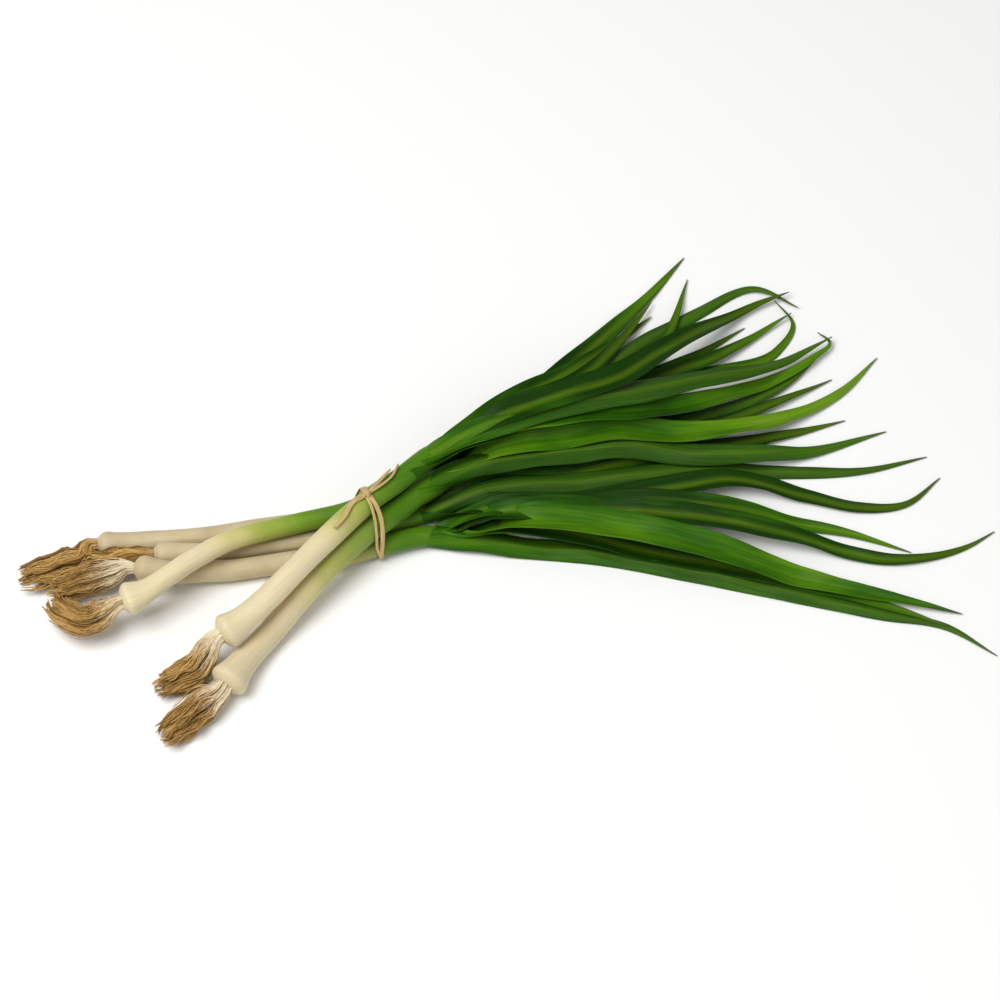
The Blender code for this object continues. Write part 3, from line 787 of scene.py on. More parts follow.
def add_node(tree: bpy.types.NodeTree, kind: str, links: dict[Any, Any] | None = None,
             stops: tuple[tuple[float, str], ...] = (), **settings: Any) -> bpy.types.Node:
    """Add a node to a material.

    Args:
        tree: the material's node tree.
        kind: the node's type.
        links: input name or number to the node, the socket or the plain value that it takes.
        stops: places and colours of a colour ramp.
        **settings: the node's own properties.

    Returns:
        The node.
    """
    node = tree.nodes.new(kind)
    for key, value in settings.items():
        setattr(node, key, value)
    for number, (spot, colour) in enumerate(stops):
        ramp = node.color_ramp.elements
        element = ramp[number] if number < 2 else ramp.new(spot)
        element.position = spot
        element.color = linear(colour)
    for key, value in (links or {}).items():
        if isinstance(value, (bpy.types.Node, bpy.types.NodeSocket)):
            tree.links.new(main_output(value), node.inputs[key])
        else:
            node.inputs[key].default_value = value
    return node


@dataclass(frozen=True)
class Finish:
    """A surface finish that reads the marks of its mesh.

    Attributes:
        name: the material's name.
    """

    name: str

    def start(self) -> tuple[bpy.types.Material, bpy.types.NodeTree, bpy.types.Node]:
        """Make an empty Principled material.

        Returns:
            The material, its node tree and its shader.
        """
        material = bpy.data.materials.new(self.name)
        material.use_nodes = True
        tree = material.node_tree
        return material, tree, tree.nodes["Principled BSDF"]

    def mark(self, tree: bpy.types.NodeTree, mark: Mark, output: str = "Fac") -> bpy.types.NodeSocket:
        """Read one of the mesh's marks."""
        return add_node(tree, "ShaderNodeAttribute", attribute_name=mark.value).outputs[output]

    def cover(self, tree: bpy.types.NodeTree, shader: bpy.types.Node, colour: bpy.types.Node,
              worn: bpy.types.Node, rough: tuple[float, float], relief: bpy.types.Node,
              bump: tuple[float, float]) -> None:
        """Give the shader its colour, an uneven roughness and a fine relief.

        Args:
            tree: the material's node tree.
            shader: its shader.
            colour: the colour.
            worn: the pattern that the roughness follows.
            rough: the roughness where that pattern is 0 and where it is 1.
            relief: the pattern that stands out of the surface.
            bump: strength of the relief and its height in metres.
        """
        uneven = add_node(tree, "ShaderNodeMapRange",
                          {"Value": worn, "To Min": rough[0], "To Max": rough[1]})
        raised = add_node(tree, "ShaderNodeBump",
                          {"Height": relief, "Strength": bump[0], "Distance": bump[1]})
        for socket, node in (("Base Color", colour), ("Roughness", uneven), ("Normal", raised)):
            tree.links.new(main_output(node), shader.inputs[socket])


@dataclass(frozen=True)
class LivingSheath(Finish):
    """Moist leaf sheath, rolled by growth: cream at the bulb, fresh green towards the fork.

    The skin is smooth and waxy, light goes a little way into it, and fine veins run along it. Real
    ones are 0.3 mm apart, which is less than the render shows, so they are drawn a little coarser.

    Attributes:
        cream: colour at the bulb.
        ivory: colour of the white stem.
        lime: colour where the green starts.
        fresh: colour of the young green.
        green: colour at the fork.
        beige: colour of a skin that has begun to dry.
        vein_mm: distance between veins.
        blotch_mm: size of the soft changes of tone.
        roughness: roughness of the wax, about.
    """

    cream: str = "#DDCFAA"
    ivory: str = "#D3C98F"
    lime: str = "#A9B054"
    fresh: str = "#7A9A2C"
    green: str = "#467408"
    # beige: the darker beige that some skins are tinted towards in patches.
    beige: str = "#A5906E"
    vein_mm: float = 0.55
    blotch_mm: float = 14.0
    roughness: float = 0.38

    def make(self) -> bpy.types.Material:
        """Build the material.

        Returns:
            The material.
        """
        material, tree, shader = self.start()
        spot = self.mark(tree, Mark.SPOT, "Vector")
        green = self.mark(tree, Mark.GREEN)
        fine = add_node(tree, "ShaderNodeVectorMath", {0: spot, 1: (1.0, 1.0, 0.035)}, operation="MULTIPLY")
        veins = add_node(tree, "ShaderNodeTexNoise",
                         {"Vector": fine, "Scale": 1.0 / self.vein_mm, "Detail": 3.0,
                          "Roughness": 0.55})
        blotch = add_node(tree, "ShaderNodeTexNoise",
                          {"Vector": spot, "Scale": 1.0 / self.blotch_mm, "Detail": 4.0})
        # Blotches and veins shift the green along the stem, and less so in the white.
        uneven = add_node(tree, "ShaderNodeMath", {0: blotch, 1: 0.35, 2: -0.175},
                          operation="MULTIPLY_ADD")
        streak = add_node(tree, "ShaderNodeMath", {0: veins, 1: 0.34, 2: -0.17}, operation="MULTIPLY_ADD")
        both = add_node(tree, "ShaderNodeMath", {0: uneven, 1: streak})
        bell = add_node(tree, "ShaderNodeMapRange",
                        {"Value": green, "From Min": 0.0, "From Max": 0.3, "To Min": 0.25, "To Max": 1.0})
        shift = add_node(tree, "ShaderNodeMath", {0: both, 1: bell, 2: green}, operation="MULTIPLY_ADD")
        colour = add_node(tree, "ShaderNodeValToRGB", {"Fac": shift},
                          stops=((0.0, self.cream), (1.0, self.green), (0.12, self.ivory),
                                 (0.38, self.lime), (0.68, self.fresh)))
        # The skin is a little darker between the veins.
        pale = add_node(tree, "ShaderNodeMapRange",
                        {"Value": veins, "From Min": 0.35, "From Max": 0.7,
                         "To Min": 0.93, "To Max": 1.05})
        lit = add_node(tree, "ShaderNodeMix", {0: 1.0, "A": colour, "B": pale},
                       data_type="RGBA", blend_type="MULTIPLY")
        # Some skins are darker beige in patches.
        warm = self.mark(tree, Mark.SHARE)
        beige_patches = add_node(tree, "ShaderNodeMath", {0: warm, 1: blotch}, operation="MULTIPLY")
        lit = add_node(tree, "ShaderNodeMix",
                       {0: beige_patches, "A": lit, "B": linear(self.beige)}, data_type="RGBA")
        self.cover(tree, shader, lit, blotch,
                   (self.roughness - 0.08, self.roughness + 0.12), veins, (0.22, 0.00025))
        shader.inputs["Subsurface Weight"].default_value = 0.25
        shader.inputs["Subsurface Radius"].default_value = (1.0, 0.9, 0.5)
        shader.inputs["Subsurface Scale"].default_value = 0.002
        shader.inputs["IOR"].default_value = 1.42
        shader.inputs["Specular IOR Level"].default_value = 0.24
        return material


@dataclass(frozen=True)
class LeafBlade(Finish):
    """Living onion leaf: a tough waxed skin over green flesh, with veins along it.

    The upper face is a deep satin green with a paler rib that also carries a painted highlight along
    the ridge, the lower face is greyer, and the last of the tip has dried to grey-brown. Real veins
    are 0.3 mm apart, which is less than the render shows, so they are drawn a little coarser.

    Attributes:
        stem: colour where the blade leaves the stem.
        young: colour of its first stretch.
        deep: colour of the open blade.
        dark: the darkest green, which its blotches reach and towards which the painted shade of blades low
            in the heap pushes.
        rib: colour along the rib, a paler rib with a painted highlight along the ridge.
        under: colour of the lower face.
        dry: colour of the dried tip.
        vein_mm: distance between veins.
        band_mm: width of the lighter and darker bands along it.
        blotch_mm: size of the slow changes of tone.
        roughness: roughness of the wax, about.
    """

    stem: str = "#7A9A2C"
    young: str = "#5E8A10"
    deep: str = "#2F6005"
    dark: str = "#163902"
    rib: str = "#84A61E"
    under: str = "#3C6418"
    dry: str = "#55543F"
    vein_mm: float = 0.5
    band_mm: float = 3.2
    blotch_mm: float = 34.0
    roughness: float = 0.42

    def make(self) -> bpy.types.Material:
        """Build the material.

        Returns:
            The material.
        """
        material, tree, shader = self.start()
        spot = self.mark(tree, Mark.SPOT, "Vector")
        green = self.mark(tree, Mark.GREEN)
        share = self.mark(tree, Mark.SHARE)
        under = self.mark(tree, Mark.UNDER)
        parts = add_node(tree, "ShaderNodeSeparateXYZ", {0: spot})
        fine = add_node(tree, "ShaderNodeVectorMath", {0: spot, 1: (1.0, 0.02, 7.0)}, operation="MULTIPLY")
        veins = add_node(tree, "ShaderNodeTexNoise",
                         {"Vector": fine, "Scale": 1.0 / self.vein_mm, "Detail": 2.0,
                          "Roughness": 0.6})
        wide = add_node(tree, "ShaderNodeTexNoise",
                        {"Vector": fine, "Scale": 1.0 / self.band_mm, "Detail": 3.0})
        long = add_node(tree, "ShaderNodeVectorMath", {0: spot, 1: (1.5, 0.42, 5.0)}, operation="MULTIPLY")
        blotch = add_node(tree, "ShaderNodeTexNoise",
                          {"Vector": long, "Scale": 1.0 / self.blotch_mm, "Detail": 4.0})
        # Bands and blotches shift the blade's own green, which already carries each blade's tone and its
        # painted shade.
        tone = add_node(tree, "ShaderNodeMath", {0: wide, 1: 0.5, 2: -0.25}, operation="MULTIPLY_ADD")
        tone = add_node(tree, "ShaderNodeMath", {0: blotch, 1: 1.5, 2: tone}, operation="MULTIPLY_ADD")
        tone = add_node(tree, "ShaderNodeMath", {0: tone, 1: -0.68})
        tone = add_node(tree, "ShaderNodeMath", {0: green, 1: tone})
        body = add_node(tree, "ShaderNodeValToRGB", {"Fac": tone},
                        stops=((0.0, self.stem), (1.0, self.dark), (0.35, self.young), (0.72, self.deep)))
        # The rib is paler once the blade is free of the stem, partly its own colour and partly a painted
        # highlight along the ridge, and the lower face is greyer.
        middle = add_node(tree, "ShaderNodeMath", {0: parts}, operation="ABSOLUTE")
        rib_and_painted_highlight = add_node(tree, "ShaderNodeMapRange",
                          {"Value": middle, "From Min": 0.2, "From Max": 3.0,
                           "To Min": 0.22, "To Max": 0.0}, interpolation_type="SMOOTHSTEP")
        free = add_node(tree, "ShaderNodeMapRange", {"Value": green, "From Min": 0.6, "From Max": 0.8})
        rib_and_painted_highlight = add_node(tree, "ShaderNodeMath", {0: rib_and_painted_highlight, 1: free}, operation="MULTIPLY")
        colour = add_node(tree, "ShaderNodeMix", {0: rib_and_painted_highlight, "A": body, "B": linear(self.rib)},
                          data_type="RGBA")
        turned = add_node(tree, "ShaderNodeMath", {0: under, 1: 0.45}, operation="MULTIPLY")
        colour = add_node(tree, "ShaderNodeMix", {0: turned, "A": colour, "B": linear(self.under)},
                          data_type="RGBA")
        # The skin is darker between the veins.
        line = add_node(tree, "ShaderNodeMapRange",
                        {"Value": veins, "From Min": 0.3, "From Max": 0.72,
                         "To Min": 0.74, "To Max": 1.2})
        colour = add_node(tree, "ShaderNodeMix", {0: 1.0, "A": colour, "B": line},
                          data_type="RGBA", blend_type="MULTIPLY")
        # The last of the tip has dried.
        ragged = add_node(tree, "ShaderNodeMath", {0: blotch, 1: 0.06, 2: share},
                          operation="MULTIPLY_ADD")
        tip = add_node(tree, "ShaderNodeMapRange",
                       {"Value": ragged, "From Min": 0.97, "From Max": 1.03, "To Max": 0.8})
        colour = add_node(tree, "ShaderNodeMix", {0: tip, "A": colour, "B": linear(self.dry)},
                          data_type="RGBA")
        self.cover(tree, shader, colour, blotch,
                   (self.roughness - 0.08, self.roughness + 0.14), veins, (0.5, 0.0004))
        shader.inputs["IOR"].default_value = 1.38
        shader.inputs["Specular IOR Level"].default_value = 0.14
        return material


@dataclass(frozen=True)
class RootFibre(Finish):
    """Fresh onion roots that have begun to dry: white at the plate, earth brown further out.

    The fibres are matt, and soil that has dried on them breaks up their colour.

    Attributes:
        white: colour at the plate.
        straw: colour of the cleanest dry strands.
        brown: colour of most dry strands.
        earth: colour of those with most soil.
        grain_mm: size of the specks of soil.
        roughness: roughness of a strand, about.
    """

    white: str = "#E4D6B6"
    straw: str = "#CDA866"
    brown: str = "#AC8544"
    earth: str = "#775420"
    grain_mm: float = 1.6
    roughness: float = 0.72

    def make(self) -> bpy.types.Material:
        """Build the material.

        Returns:
            The material.
        """
        material, tree, shader = self.start()
        spot = self.mark(tree, Mark.SPOT, "Vector")
        share = self.mark(tree, Mark.SHARE)
        own = self.mark(tree, Mark.GREEN)
        grain = add_node(tree, "ShaderNodeTexNoise",
                         {"Vector": spot, "Scale": 1.0 / self.grain_mm, "Detail": 4.0})
        # Each strand has its own tone, broken up by specks of soil.
        soil = add_node(tree, "ShaderNodeMath", {0: grain, 1: 0.9, 2: -0.45}, operation="MULTIPLY_ADD")
        tone = add_node(tree, "ShaderNodeMath", {0: own, 1: soil})
        brown = add_node(tree, "ShaderNodeValToRGB", {"Fac": tone},
                         stops=((0.0, self.straw), (1.0, self.earth), (0.5, self.brown)))
        # Near the plate the strands are still white, up to a ragged edge.
        edge = add_node(tree, "ShaderNodeMath", {0: grain, 1: 0.5, 2: share}, operation="MULTIPLY_ADD")
        dirty = add_node(tree, "ShaderNodeMapRange", {"Value": edge, "From Min": 0.1, "From Max": 0.55},
                         interpolation_type="SMOOTHSTEP")
        colour = add_node(tree, "ShaderNodeMix", {0: dirty, "A": linear(self.white), "B": brown},
                          data_type="RGBA")
        self.cover(tree, shader, colour, grain,
                   (self.roughness - 0.1, self.roughness + 0.2), grain, (0.5, 0.0003))
        shader.inputs["IOR"].default_value = 1.45
        return material


@dataclass(frozen=True)
class SplitRaffia(Finish):
    """Raffia, split from palm leaf and dried: straw-coloured strips with long fibres.

    The strips are dry with a slight sheen along the fibres. Real ones are 0.1 mm apart, which is
    too fine to show, so they are drawn coarser.

    Attributes:
        pale: colour of the lightest fibres.
        straw: colour of most of them.
        tan: colour of the darkest.
        fibre_mm: distance between fibres.
        roughness: roughness of a strip, about.
    """

    pale: str = "#DCC794"
    straw: str = "#C2A468"
    tan: str = "#937440"
    fibre_mm: float = 0.3
    roughness: float = 0.5

    def make(self) -> bpy.types.Material:
        """Build the material.

        Returns:
            The material.
        """
        material, tree, shader = self.start()
        spot = self.mark(tree, Mark.SPOT, "Vector")
        along = add_node(tree, "ShaderNodeVectorMath", {0: spot, 1: (1.0, 0.05, 3.0)}, operation="MULTIPLY")
        fibre = add_node(tree, "ShaderNodeTexNoise",
                         {"Vector": along, "Scale": 1.0 / self.fibre_mm, "Detail": 3.0})
        colour = add_node(tree, "ShaderNodeValToRGB", {"Fac": fibre},
                          stops=((0.25, self.tan), (0.8, self.pale), (0.5, self.straw)))
        self.cover(tree, shader, colour, fibre,
                   (self.roughness - 0.1, self.roughness + 0.2), fibre, (0.5, 0.0002))
        shader.inputs["IOR"].default_value = 1.5
        return material


@dataclass
class Shank:
    """The white stem from the root plate to the tie.

    Attributes:
        stem: where it lies.
        sides: corners of a ring.
        row_step: distance between rings along it.
        ribs: number of shallow ribs that the veins raise.
        rib_depth: their depth.
        skin_step: thickness of the outer skin at its torn edge.
        lip: how far the swollen lip round the root plate stands out.
        lip_at: distance of the lip from the plate.
        lip_reach: how far the lip reaches along the stem.
        oval: how far the stem is out of round.
        end_gap: how far it ends before the leaf spray starts.
    """

    stem: Stem
    sides: int = 48
    row_step: float = 1.25
    ribs: int = 14
    rib_depth: float = 0.05
    skin_step: float = 0.16
    lip: float = 0.55
    lip_at: float = 4.5
    lip_reach: float = 2.6
    oval: float = 0.12
    end_gap: float = 0.15

    def build(self, finish: bpy.types.Material) -> bpy.types.Object:
        """Make the shank and give it its finish.

        Args:
            finish: the sheath's material.

        Returns:
            The finished piece.
        """
        stem = self.stem
        number = stem.onion.number
        rng = random.Random(10 + number)
        end = stem.cut - self.end_gap
        rounded = (0.0, 0.4, 0.9, 1.5, 2.2, 3.0)
        rows = np.concatenate((rounded, np.arange(4.0, end, self.row_step), [end]))
        middle, ahead, radii = stem.rings(rows)
        angles = np.linspace(0.0, FULL_TURN, self.sides, endpoint=False)
        lean = rng.uniform(0.0, FULL_TURN)
        edge = rng.uniform(20.0, 34.0) + 6.0 * np.sin(angles + lean) + 1.5 * np.sin(3.0 * angles)
        skin = self.skin_step * smooth_step((edge[None, :] - rows[:, None]) / 1.2)
        ribs = self.rib_depth * np.cos(self.ribs * angles)[None, :] * smooth_step(rows / 30.0)[:, None]
        uneven = self.oval * np.sin(rows / 9.0 + lean)[:, None] * np.cos(2.0 * angles + lean)[None, :]
        lip = self.lip * np.exp(-((rows - self.lip_at) / self.lip_reach) ** 2)[:, None]
        lip = lip * (0.7 + 0.4 * np.cos(2.0 * angles + 2.0 * lean) + 0.2 * np.cos(5.0 * angles))[None, :]
        worn = 1.0 - 0.22 * (1.0 - np.sin(np.clip(rows / self.lip_at, 0.0, 1.0) * math.pi / 2.0))
        shape = radii[:, None] * worn[:, None] + (skin - self.skin_step) + ribs - self.rib_depth
        shape = shape + uneven + lip
        points, faces, turn = tube(middle, shape, self.sides, ahead)
        points[:, 2] = np.maximum(points[:, 2], 0.0)
        run = np.repeat(rows, self.sides)
        sheet = Sheet()
        tilt = 3.0 * np.sin(turn + lean)
        sheet.add(points, faces, stem.spots(turn, run), green=stem.green(run + tilt),
                  share=stem.onion.warmth)
        piece = sheet.piece("onion_%d_white_shank" % number, [finish])
        return mount(piece, "onion_%d_shank" % number)


@dataclass
class Lock:
    """One lock of a root tuft: strands that cling together.

    Attributes:
        angle: where round the tuft it lies.
        reach: how far out it lies, as a share of the tuft's radius.
        length: how far along the tuft it runs.
        tone: how dark the soil has left it.
        swing: height of its slow waves, in millimetres.
        phases: where its waves start, across and up.
        wave: length of a wave.
    """

    angle: float
    reach: float
    length: float
    tone: float
    swing: float
    phases: tuple[float, float]
    wave: float

    @classmethod
    def draw(cls, rng: random.Random, stray: bool) -> "Lock":
        """Draw a lock's place and waves.

        Args:
            rng: the tuft's own random draws.
            stray: True for one that stands off the tuft.

        Returns:
            The lock.
        """
        reach = rng.uniform(0.85, 1.2) if stray else math.sqrt(rng.uniform(0.01, 1.0))
        length = rng.uniform(0.5, 0.9) if stray else rng.uniform(0.8, 1.0)
        return cls(rng.uniform(0.0, FULL_TURN), reach, length, rng.uniform(0.15, 0.85),
                   rng.uniform(0.25, 1.0), (rng.uniform(0.0, ANY_PHASE), rng.uniform(0.0, ANY_PHASE)),
                   rng.uniform(11.0, 20.0))


@dataclass
class RootTuft:
    """The roots on a plate: several dozen fine strands that cling together in wavy locks.

    Attributes:
        stem: the stem they grow from.
        locks: number of locks.
        strays: number of thin locks that stand off the rest.
        strands: strands in a lock.
        stray_strands: strands in a lock that stands off.
        thick: radius of a strand at the plate.
        stray_thick: radius of one that stands off.
        lock_radius: radius of a lock.
        inside: how deep in the plate the strands start.
        flatter: height of the tuft as a share of its width.
        steps: points along a strand.
    """

    stem: Stem
    locks: int = 30
    strays: int = 9
    strands: int = 12
    stray_strands: int = 3
    thick: float = 0.36
    stray_thick: float = 0.22
    lock_radius: float = 1.2
    inside: float = 1.5
    flatter: float = 0.72
    steps: int = 18

    def build(self, heap: Heap, finish: bpy.types.Material) -> bpy.types.Object:
        """Lay the tuft over the heap and make its strands.

        Args:
            heap: what lies there already.
            finish: the roots' material.

        Returns:
            The finished piece.
        """
        onion = self.stem.onion
        rng = random.Random(100 + onion.number)
        plate = self.stem.middle()[0]
        away = -directions(self.stem.middle())[0]
        first = plate + away * ROOT_START
        line = smooth_line([first[:2], (plate + away * 4.0)[:2]] + list(onion.roots))
        share = np.arange(len(line)) / (len(line) - 1.0)
        opening = 0.55 + 0.45 * smooth_step(share / 0.35)
        spread = onion.root_spread * opening * (1.0 - 0.5 * share**2)
        heights = heap.lay_cord(line, spread, onion.number)
        heights = heights + (first[2] - heights[0]) * (1.0 - smooth_step(share / 0.5))
        settled = 1.0 - (1.0 - self.flatter) * smooth_step(share / 0.4)
        middle = np.column_stack((line, heights * settled))
        middle = np.vstack((plate - away * self.inside, middle))
        share = np.arange(len(middle)) / (len(middle) - 1.0)
        plate_radius = 0.5 * onion.bulb
        wide = onion.root_spread * onion.tuft_width * (1.0 - 0.25 * share**2)
        wide = plate_radius + (wide - plate_radius) * smooth_step(share / 0.4)
        sheet = Sheet()
        for index in range(self.locks + self.strays):
            stray = index >= self.locks
            lock = Lock.draw(rng, stray)
            for _ in range(self.stray_strands if stray else self.strands):
                self.add_strand(sheet, rng, lock, middle, wide, stray)
        piece = sheet.piece("onion_%d_root_tuft" % onion.number, [finish])
        return mount(piece, "onion_%d_roots" % onion.number)

    def add_strand(self, sheet: Sheet, rng: random.Random, lock: Lock, middle: np.ndarray,
                   wide: np.ndarray, stray: bool) -> None:
        """Add one strand to the tuft.

        Args:
            sheet: the mesh to add to.
            rng: the tuft's own random draws.
            lock: the lock it clings to.
            middle: stations of the tuft's middle in space.
            wide: radius of the tuft at each station.
            stray: True for a thin strand that stands off.
        """
        t = np.linspace(0.0, 1.0, self.steps)
        length = min(1.0, lock.length * rng.uniform(0.86, 1.0))
        run = t * length * (len(middle) - 1.0)
        own = np.arange(len(middle), dtype=float)
        line = read_rows(middle, run, own)
        left = read_rows(side_of(middle[:, :2]), run, own)
        radius = np.interp(run, own, wide)
        turn = rng.uniform(0.0, FULL_TURN)
        apart = self.lock_radius * math.sqrt(rng.uniform(0.0, 1.0))
        loose = 0.35 + 0.65 * np.sin(math.pi * np.minimum(t * 0.8, 1.0))
        waves = lock.swing * smooth_step(t / 0.4)
        curl = rng.uniform(0.1, 0.36) * smooth_step(t / 0.3)
        phase = rng.uniform(0.0, ANY_PHASE)
        reach = lock.reach * (0.8 + 0.2 * smooth_step(t / 0.5))
        aside = (math.cos(lock.angle) * reach * radius + apart * math.cos(turn) * loose
                 + waves * np.sin(run / lock.wave * 6.3 + lock.phases[0])
                 + curl * np.sin(run / 2.1 + phase))
        above = (math.sin(lock.angle) * reach * radius + apart * math.sin(turn) * loose
                 + waves * np.sin(run / lock.wave * 5.1 + lock.phases[1])
                 + curl * np.cos(run / 1.8 + phase))
        above = above * (1.0 - (1.0 - self.flatter) * smooth_step(t / 0.3))
        thick = self.stray_thick if stray else self.thick * rng.uniform(0.7, 1.15)
        thick = thick * (1.0 - 0.45 * t**2)
        line[:, :2] += left * aside[:, None]
        line[:, 2] = np.maximum(line[:, 2] + above, thick + 0.05)
        sides = 4 if stray else 5
        points, faces, angles = tube(line, thick, sides)
        number = rng.uniform(0.0, 60.0)
        spots = np.column_stack((np.cos(angles) * 0.6 + number, np.sin(angles) * 0.6,
                                 np.repeat(run, sides)))
        white = self.stem.onion.white_roots + rng.uniform(-0.1, 0.1)
        tone = lock.tone + rng.uniform(-0.2, 0.2)
        sheet.add(points, faces, spots, share=np.repeat(t * length, sides) - white, green=tone)


@dataclass
class LeafSpray:
    """The green stem past the tie, with the blades that leave it.

    Attributes:
        stem: where it lies.
        sides: corners of a ring of the rolled stem.
        start_gap: how far past the end of the shank the rolled stem starts.
        oval: how far it is out of round, as a share of its radius.
        core_inset: how far its surface lies inside the sheaths.
        columns: points across a blade.
        row_step: distance between rows along a blade.
        opening: how far past its foot a blade has opened out of its sheath.
        wrap: how far round the stem the sheath reaches to each side, in degrees.
        slant: how much later one edge of a sheath leaves the stem than its middle does.
        channel: radius that an open blade is still curved to.
        edge_wave: height of the slow waves along its edges.
        rib: half the width of its rib.
    """

    stem: Stem
    sides: int = 40
    start_gap: float = 0.15
    oval: float = 0.03
    core_inset: float = 0.1
    columns: int = 15
    row_step: int = 2
    opening: float = 50.0
    wrap: float = 105.0
    slant: float = 5.0
    channel: float = 22.0
    edge_wave: float = 0.65
    rib: float = 0.55

    def build(self, heap: Heap, finishes: list[bpy.types.Material]) -> bpy.types.Object:
        """Lay the blades over the heap and make the spray.

        Args:
            heap: what lies there already.
            finishes: the sheath's material and the blades'.

        Returns:
            The finished piece.
        """
        stem = self.stem
        number = stem.onion.number
        sheet = Sheet()
        self.add_core(sheet)
        others = np.maximum(heap.stem_map(skipped=number), heap.blades)
        own = heap.stem_map()
        for index, leaf in enumerate(stem.onion.leaves):
            foot = min(stem.cut + int(leaf.foot), len(stem.line) - 14)
            path = smooth_line([tuple(stem.line[foot]), tuple(stem.line[foot + HELD])] + list(leaf.path))
            sections = self.plain_sections(leaf, len(path), 7)
            heights = heap.lay_blade(path, sections, stem.heights[foot:foot + HELD + 1], own, others)
            self.add_blade(sheet, leaf, index, path, heights, foot)
        piece = sheet.piece("onion_%d_leaf_spray" % number, finishes)
        return mount(piece, "onion_%d_leaves" % number)

    def add_core(self, sheet: Sheet) -> None:
        """Add the rolled stem that the blades leave.

        Args:
            sheet: the mesh to add to.
        """
        stem = self.stem
        end = len(stem.line) - 1.0
        rows = np.concatenate(([stem.cut + self.start_gap], np.arange(stem.cut + 1.5, end, 1.5), [end]))
        middle, ahead, radii = stem.rings(rows)
        angles = np.linspace(0.0, FULL_TURN, self.sides, endpoint=False)
        shape = radii[:, None] * (1.0 + self.oval * np.cos(2.0 * angles)[None, :]) - self.core_inset
        points, faces, turn = tube(middle, shape, self.sides, ahead)
        points[:, 2] = np.maximum(points[:, 2], 0.0)
        run = np.repeat(rows, self.sides)
        sheet.add(points, faces, stem.spots(turn, run), green=stem.green(run))

    def width(self, leaf: Leaf, count: int) -> np.ndarray:
        """Width of a blade at each station: it opens, runs level and tapers to its point.

        Args:
            leaf: the blade's sizes.
            count: number of stations.

        Returns:
            The widths.
        """
        run = np.arange(count, dtype=float)
        share = run / (count - 1.0)
        rise = 0.55 + 0.45 * smooth_step((run - HELD) / 40.0)
        taper = 1.0 - np.clip((share - 0.45) / 0.55, 0.0, 1.0) ** 1.5
        return TIP_WIDTH + (leaf.width - TIP_WIDTH) * rise * taper

    def plain_sections(self, leaf: Leaf, count: int, across: int) -> np.ndarray:
        """Section of a blade as the solids have it, which is what the heap is laid by.

        Args:
            leaf: the blade's sizes.
            count: number of stations.
            across: points across.

        Returns:
            Offsets to the side and up, stations by points by two.
        """
        run = np.arange(count, dtype=float)
        width = self.width(leaf, count)
        folded = math.copysign(40.0, leaf.fold)
        fold = np.radians(leaf.fold + (folded - leaf.fold) * (1.0 - smooth_step((run - HELD) / 35.0)))
        twist = self.twist(leaf, count)
        spots = np.linspace(-0.5, 0.5, across)
        out = width[:, None] * spots[None, :] * np.cos(fold)[:, None]
        up = width[:, None] * np.abs(spots)[None, :] * np.sin(fold)[:, None]
        up = up - (up.max(axis=1) + up.min(axis=1))[:, None] / 2.0
        turned_out = out * np.cos(twist)[:, None] - up * np.sin(twist)[:, None]
        turned_up = out * np.sin(twist)[:, None] + up * np.cos(twist)[:, None]
        return np.stack((turned_out, turned_up), axis=2)

    def twist(self, leaf: Leaf, count: int) -> np.ndarray:
        """Roll of a blade at each station, in radians."""
        stops = np.linspace(0.0, 1.0, len(leaf.twist))
        return np.radians(np.interp(np.linspace(0.0, 1.0, count), stops, leaf.twist))

    def side_it_leaves(self, path: np.ndarray, foot: int) -> float:
        """Find the side on which a blade leaves the stem.

        Args:
            path: stations of its rib.
            foot: station of the stem that it leaves at.

        Returns:
            1 for the left, -1 for the right.
        """
        stem_ahead = self.stem.line[foot + HELD] - self.stem.line[foot]
        leaf_ahead = path[min(60, len(path) - 1)] - path[HELD]
        return 1.0 if stem_ahead[0] * leaf_ahead[1] - stem_ahead[1] * leaf_ahead[0] > 0.0 else -1.0

    def waves(self, rng: random.Random, run: np.ndarray, across: np.ndarray,
              height: np.ndarray) -> np.ndarray:
        """Draw the slow waves along both edges of a blade.

        Args:
            rng: the blade's own random draws.
            run: distance of each row from the foot.
            across: place of each column, from -1 to 1.
            height: height of the waves at each row.

        Returns:
            How far each point is raised, rows by columns.
        """
        left = np.sin(run / rng.uniform(5.0, 8.0) + rng.uniform(0.0, ANY_PHASE))
        right = np.sin(run / rng.uniform(5.0, 8.0) + rng.uniform(0.0, ANY_PHASE))
        edge = np.where(across[None, :] < 0.0, left[:, None], right[:, None])
        return (across**2)[None, :] * height[:, None] * edge

    def thickness(self, across: np.ndarray, half: np.ndarray, share: np.ndarray,
                  opened: np.ndarray) -> tuple[np.ndarray, np.ndarray]:
        """Thin the blade towards its edges and its tip, and raise the rib underneath.

        Args:
            across: place of each column, from -1 to 1.
            half: half the width at each row.
            share: share of the length at each row.
            opened: how far each row has opened.

        Returns:
            How far the upper and the lower face lie from the middle, rows by columns.
        """
        thin = (1.0 - 0.55 * np.abs(across) ** 2)[None, :] * (1.0 - 0.5 * share**2)[:, None]
        thin = thin * (0.4 + 0.6 * opened)[:, None]
        rib = np.exp(-((across[None, :] * half[:, None]) / self.rib) ** 2)
        rib = rib * (opened * (1.0 - share))[:, None]
        return 0.5 * BLADE_THICK * thin - 0.16 * rib, 0.5 * BLADE_THICK * thin + 0.35 * rib

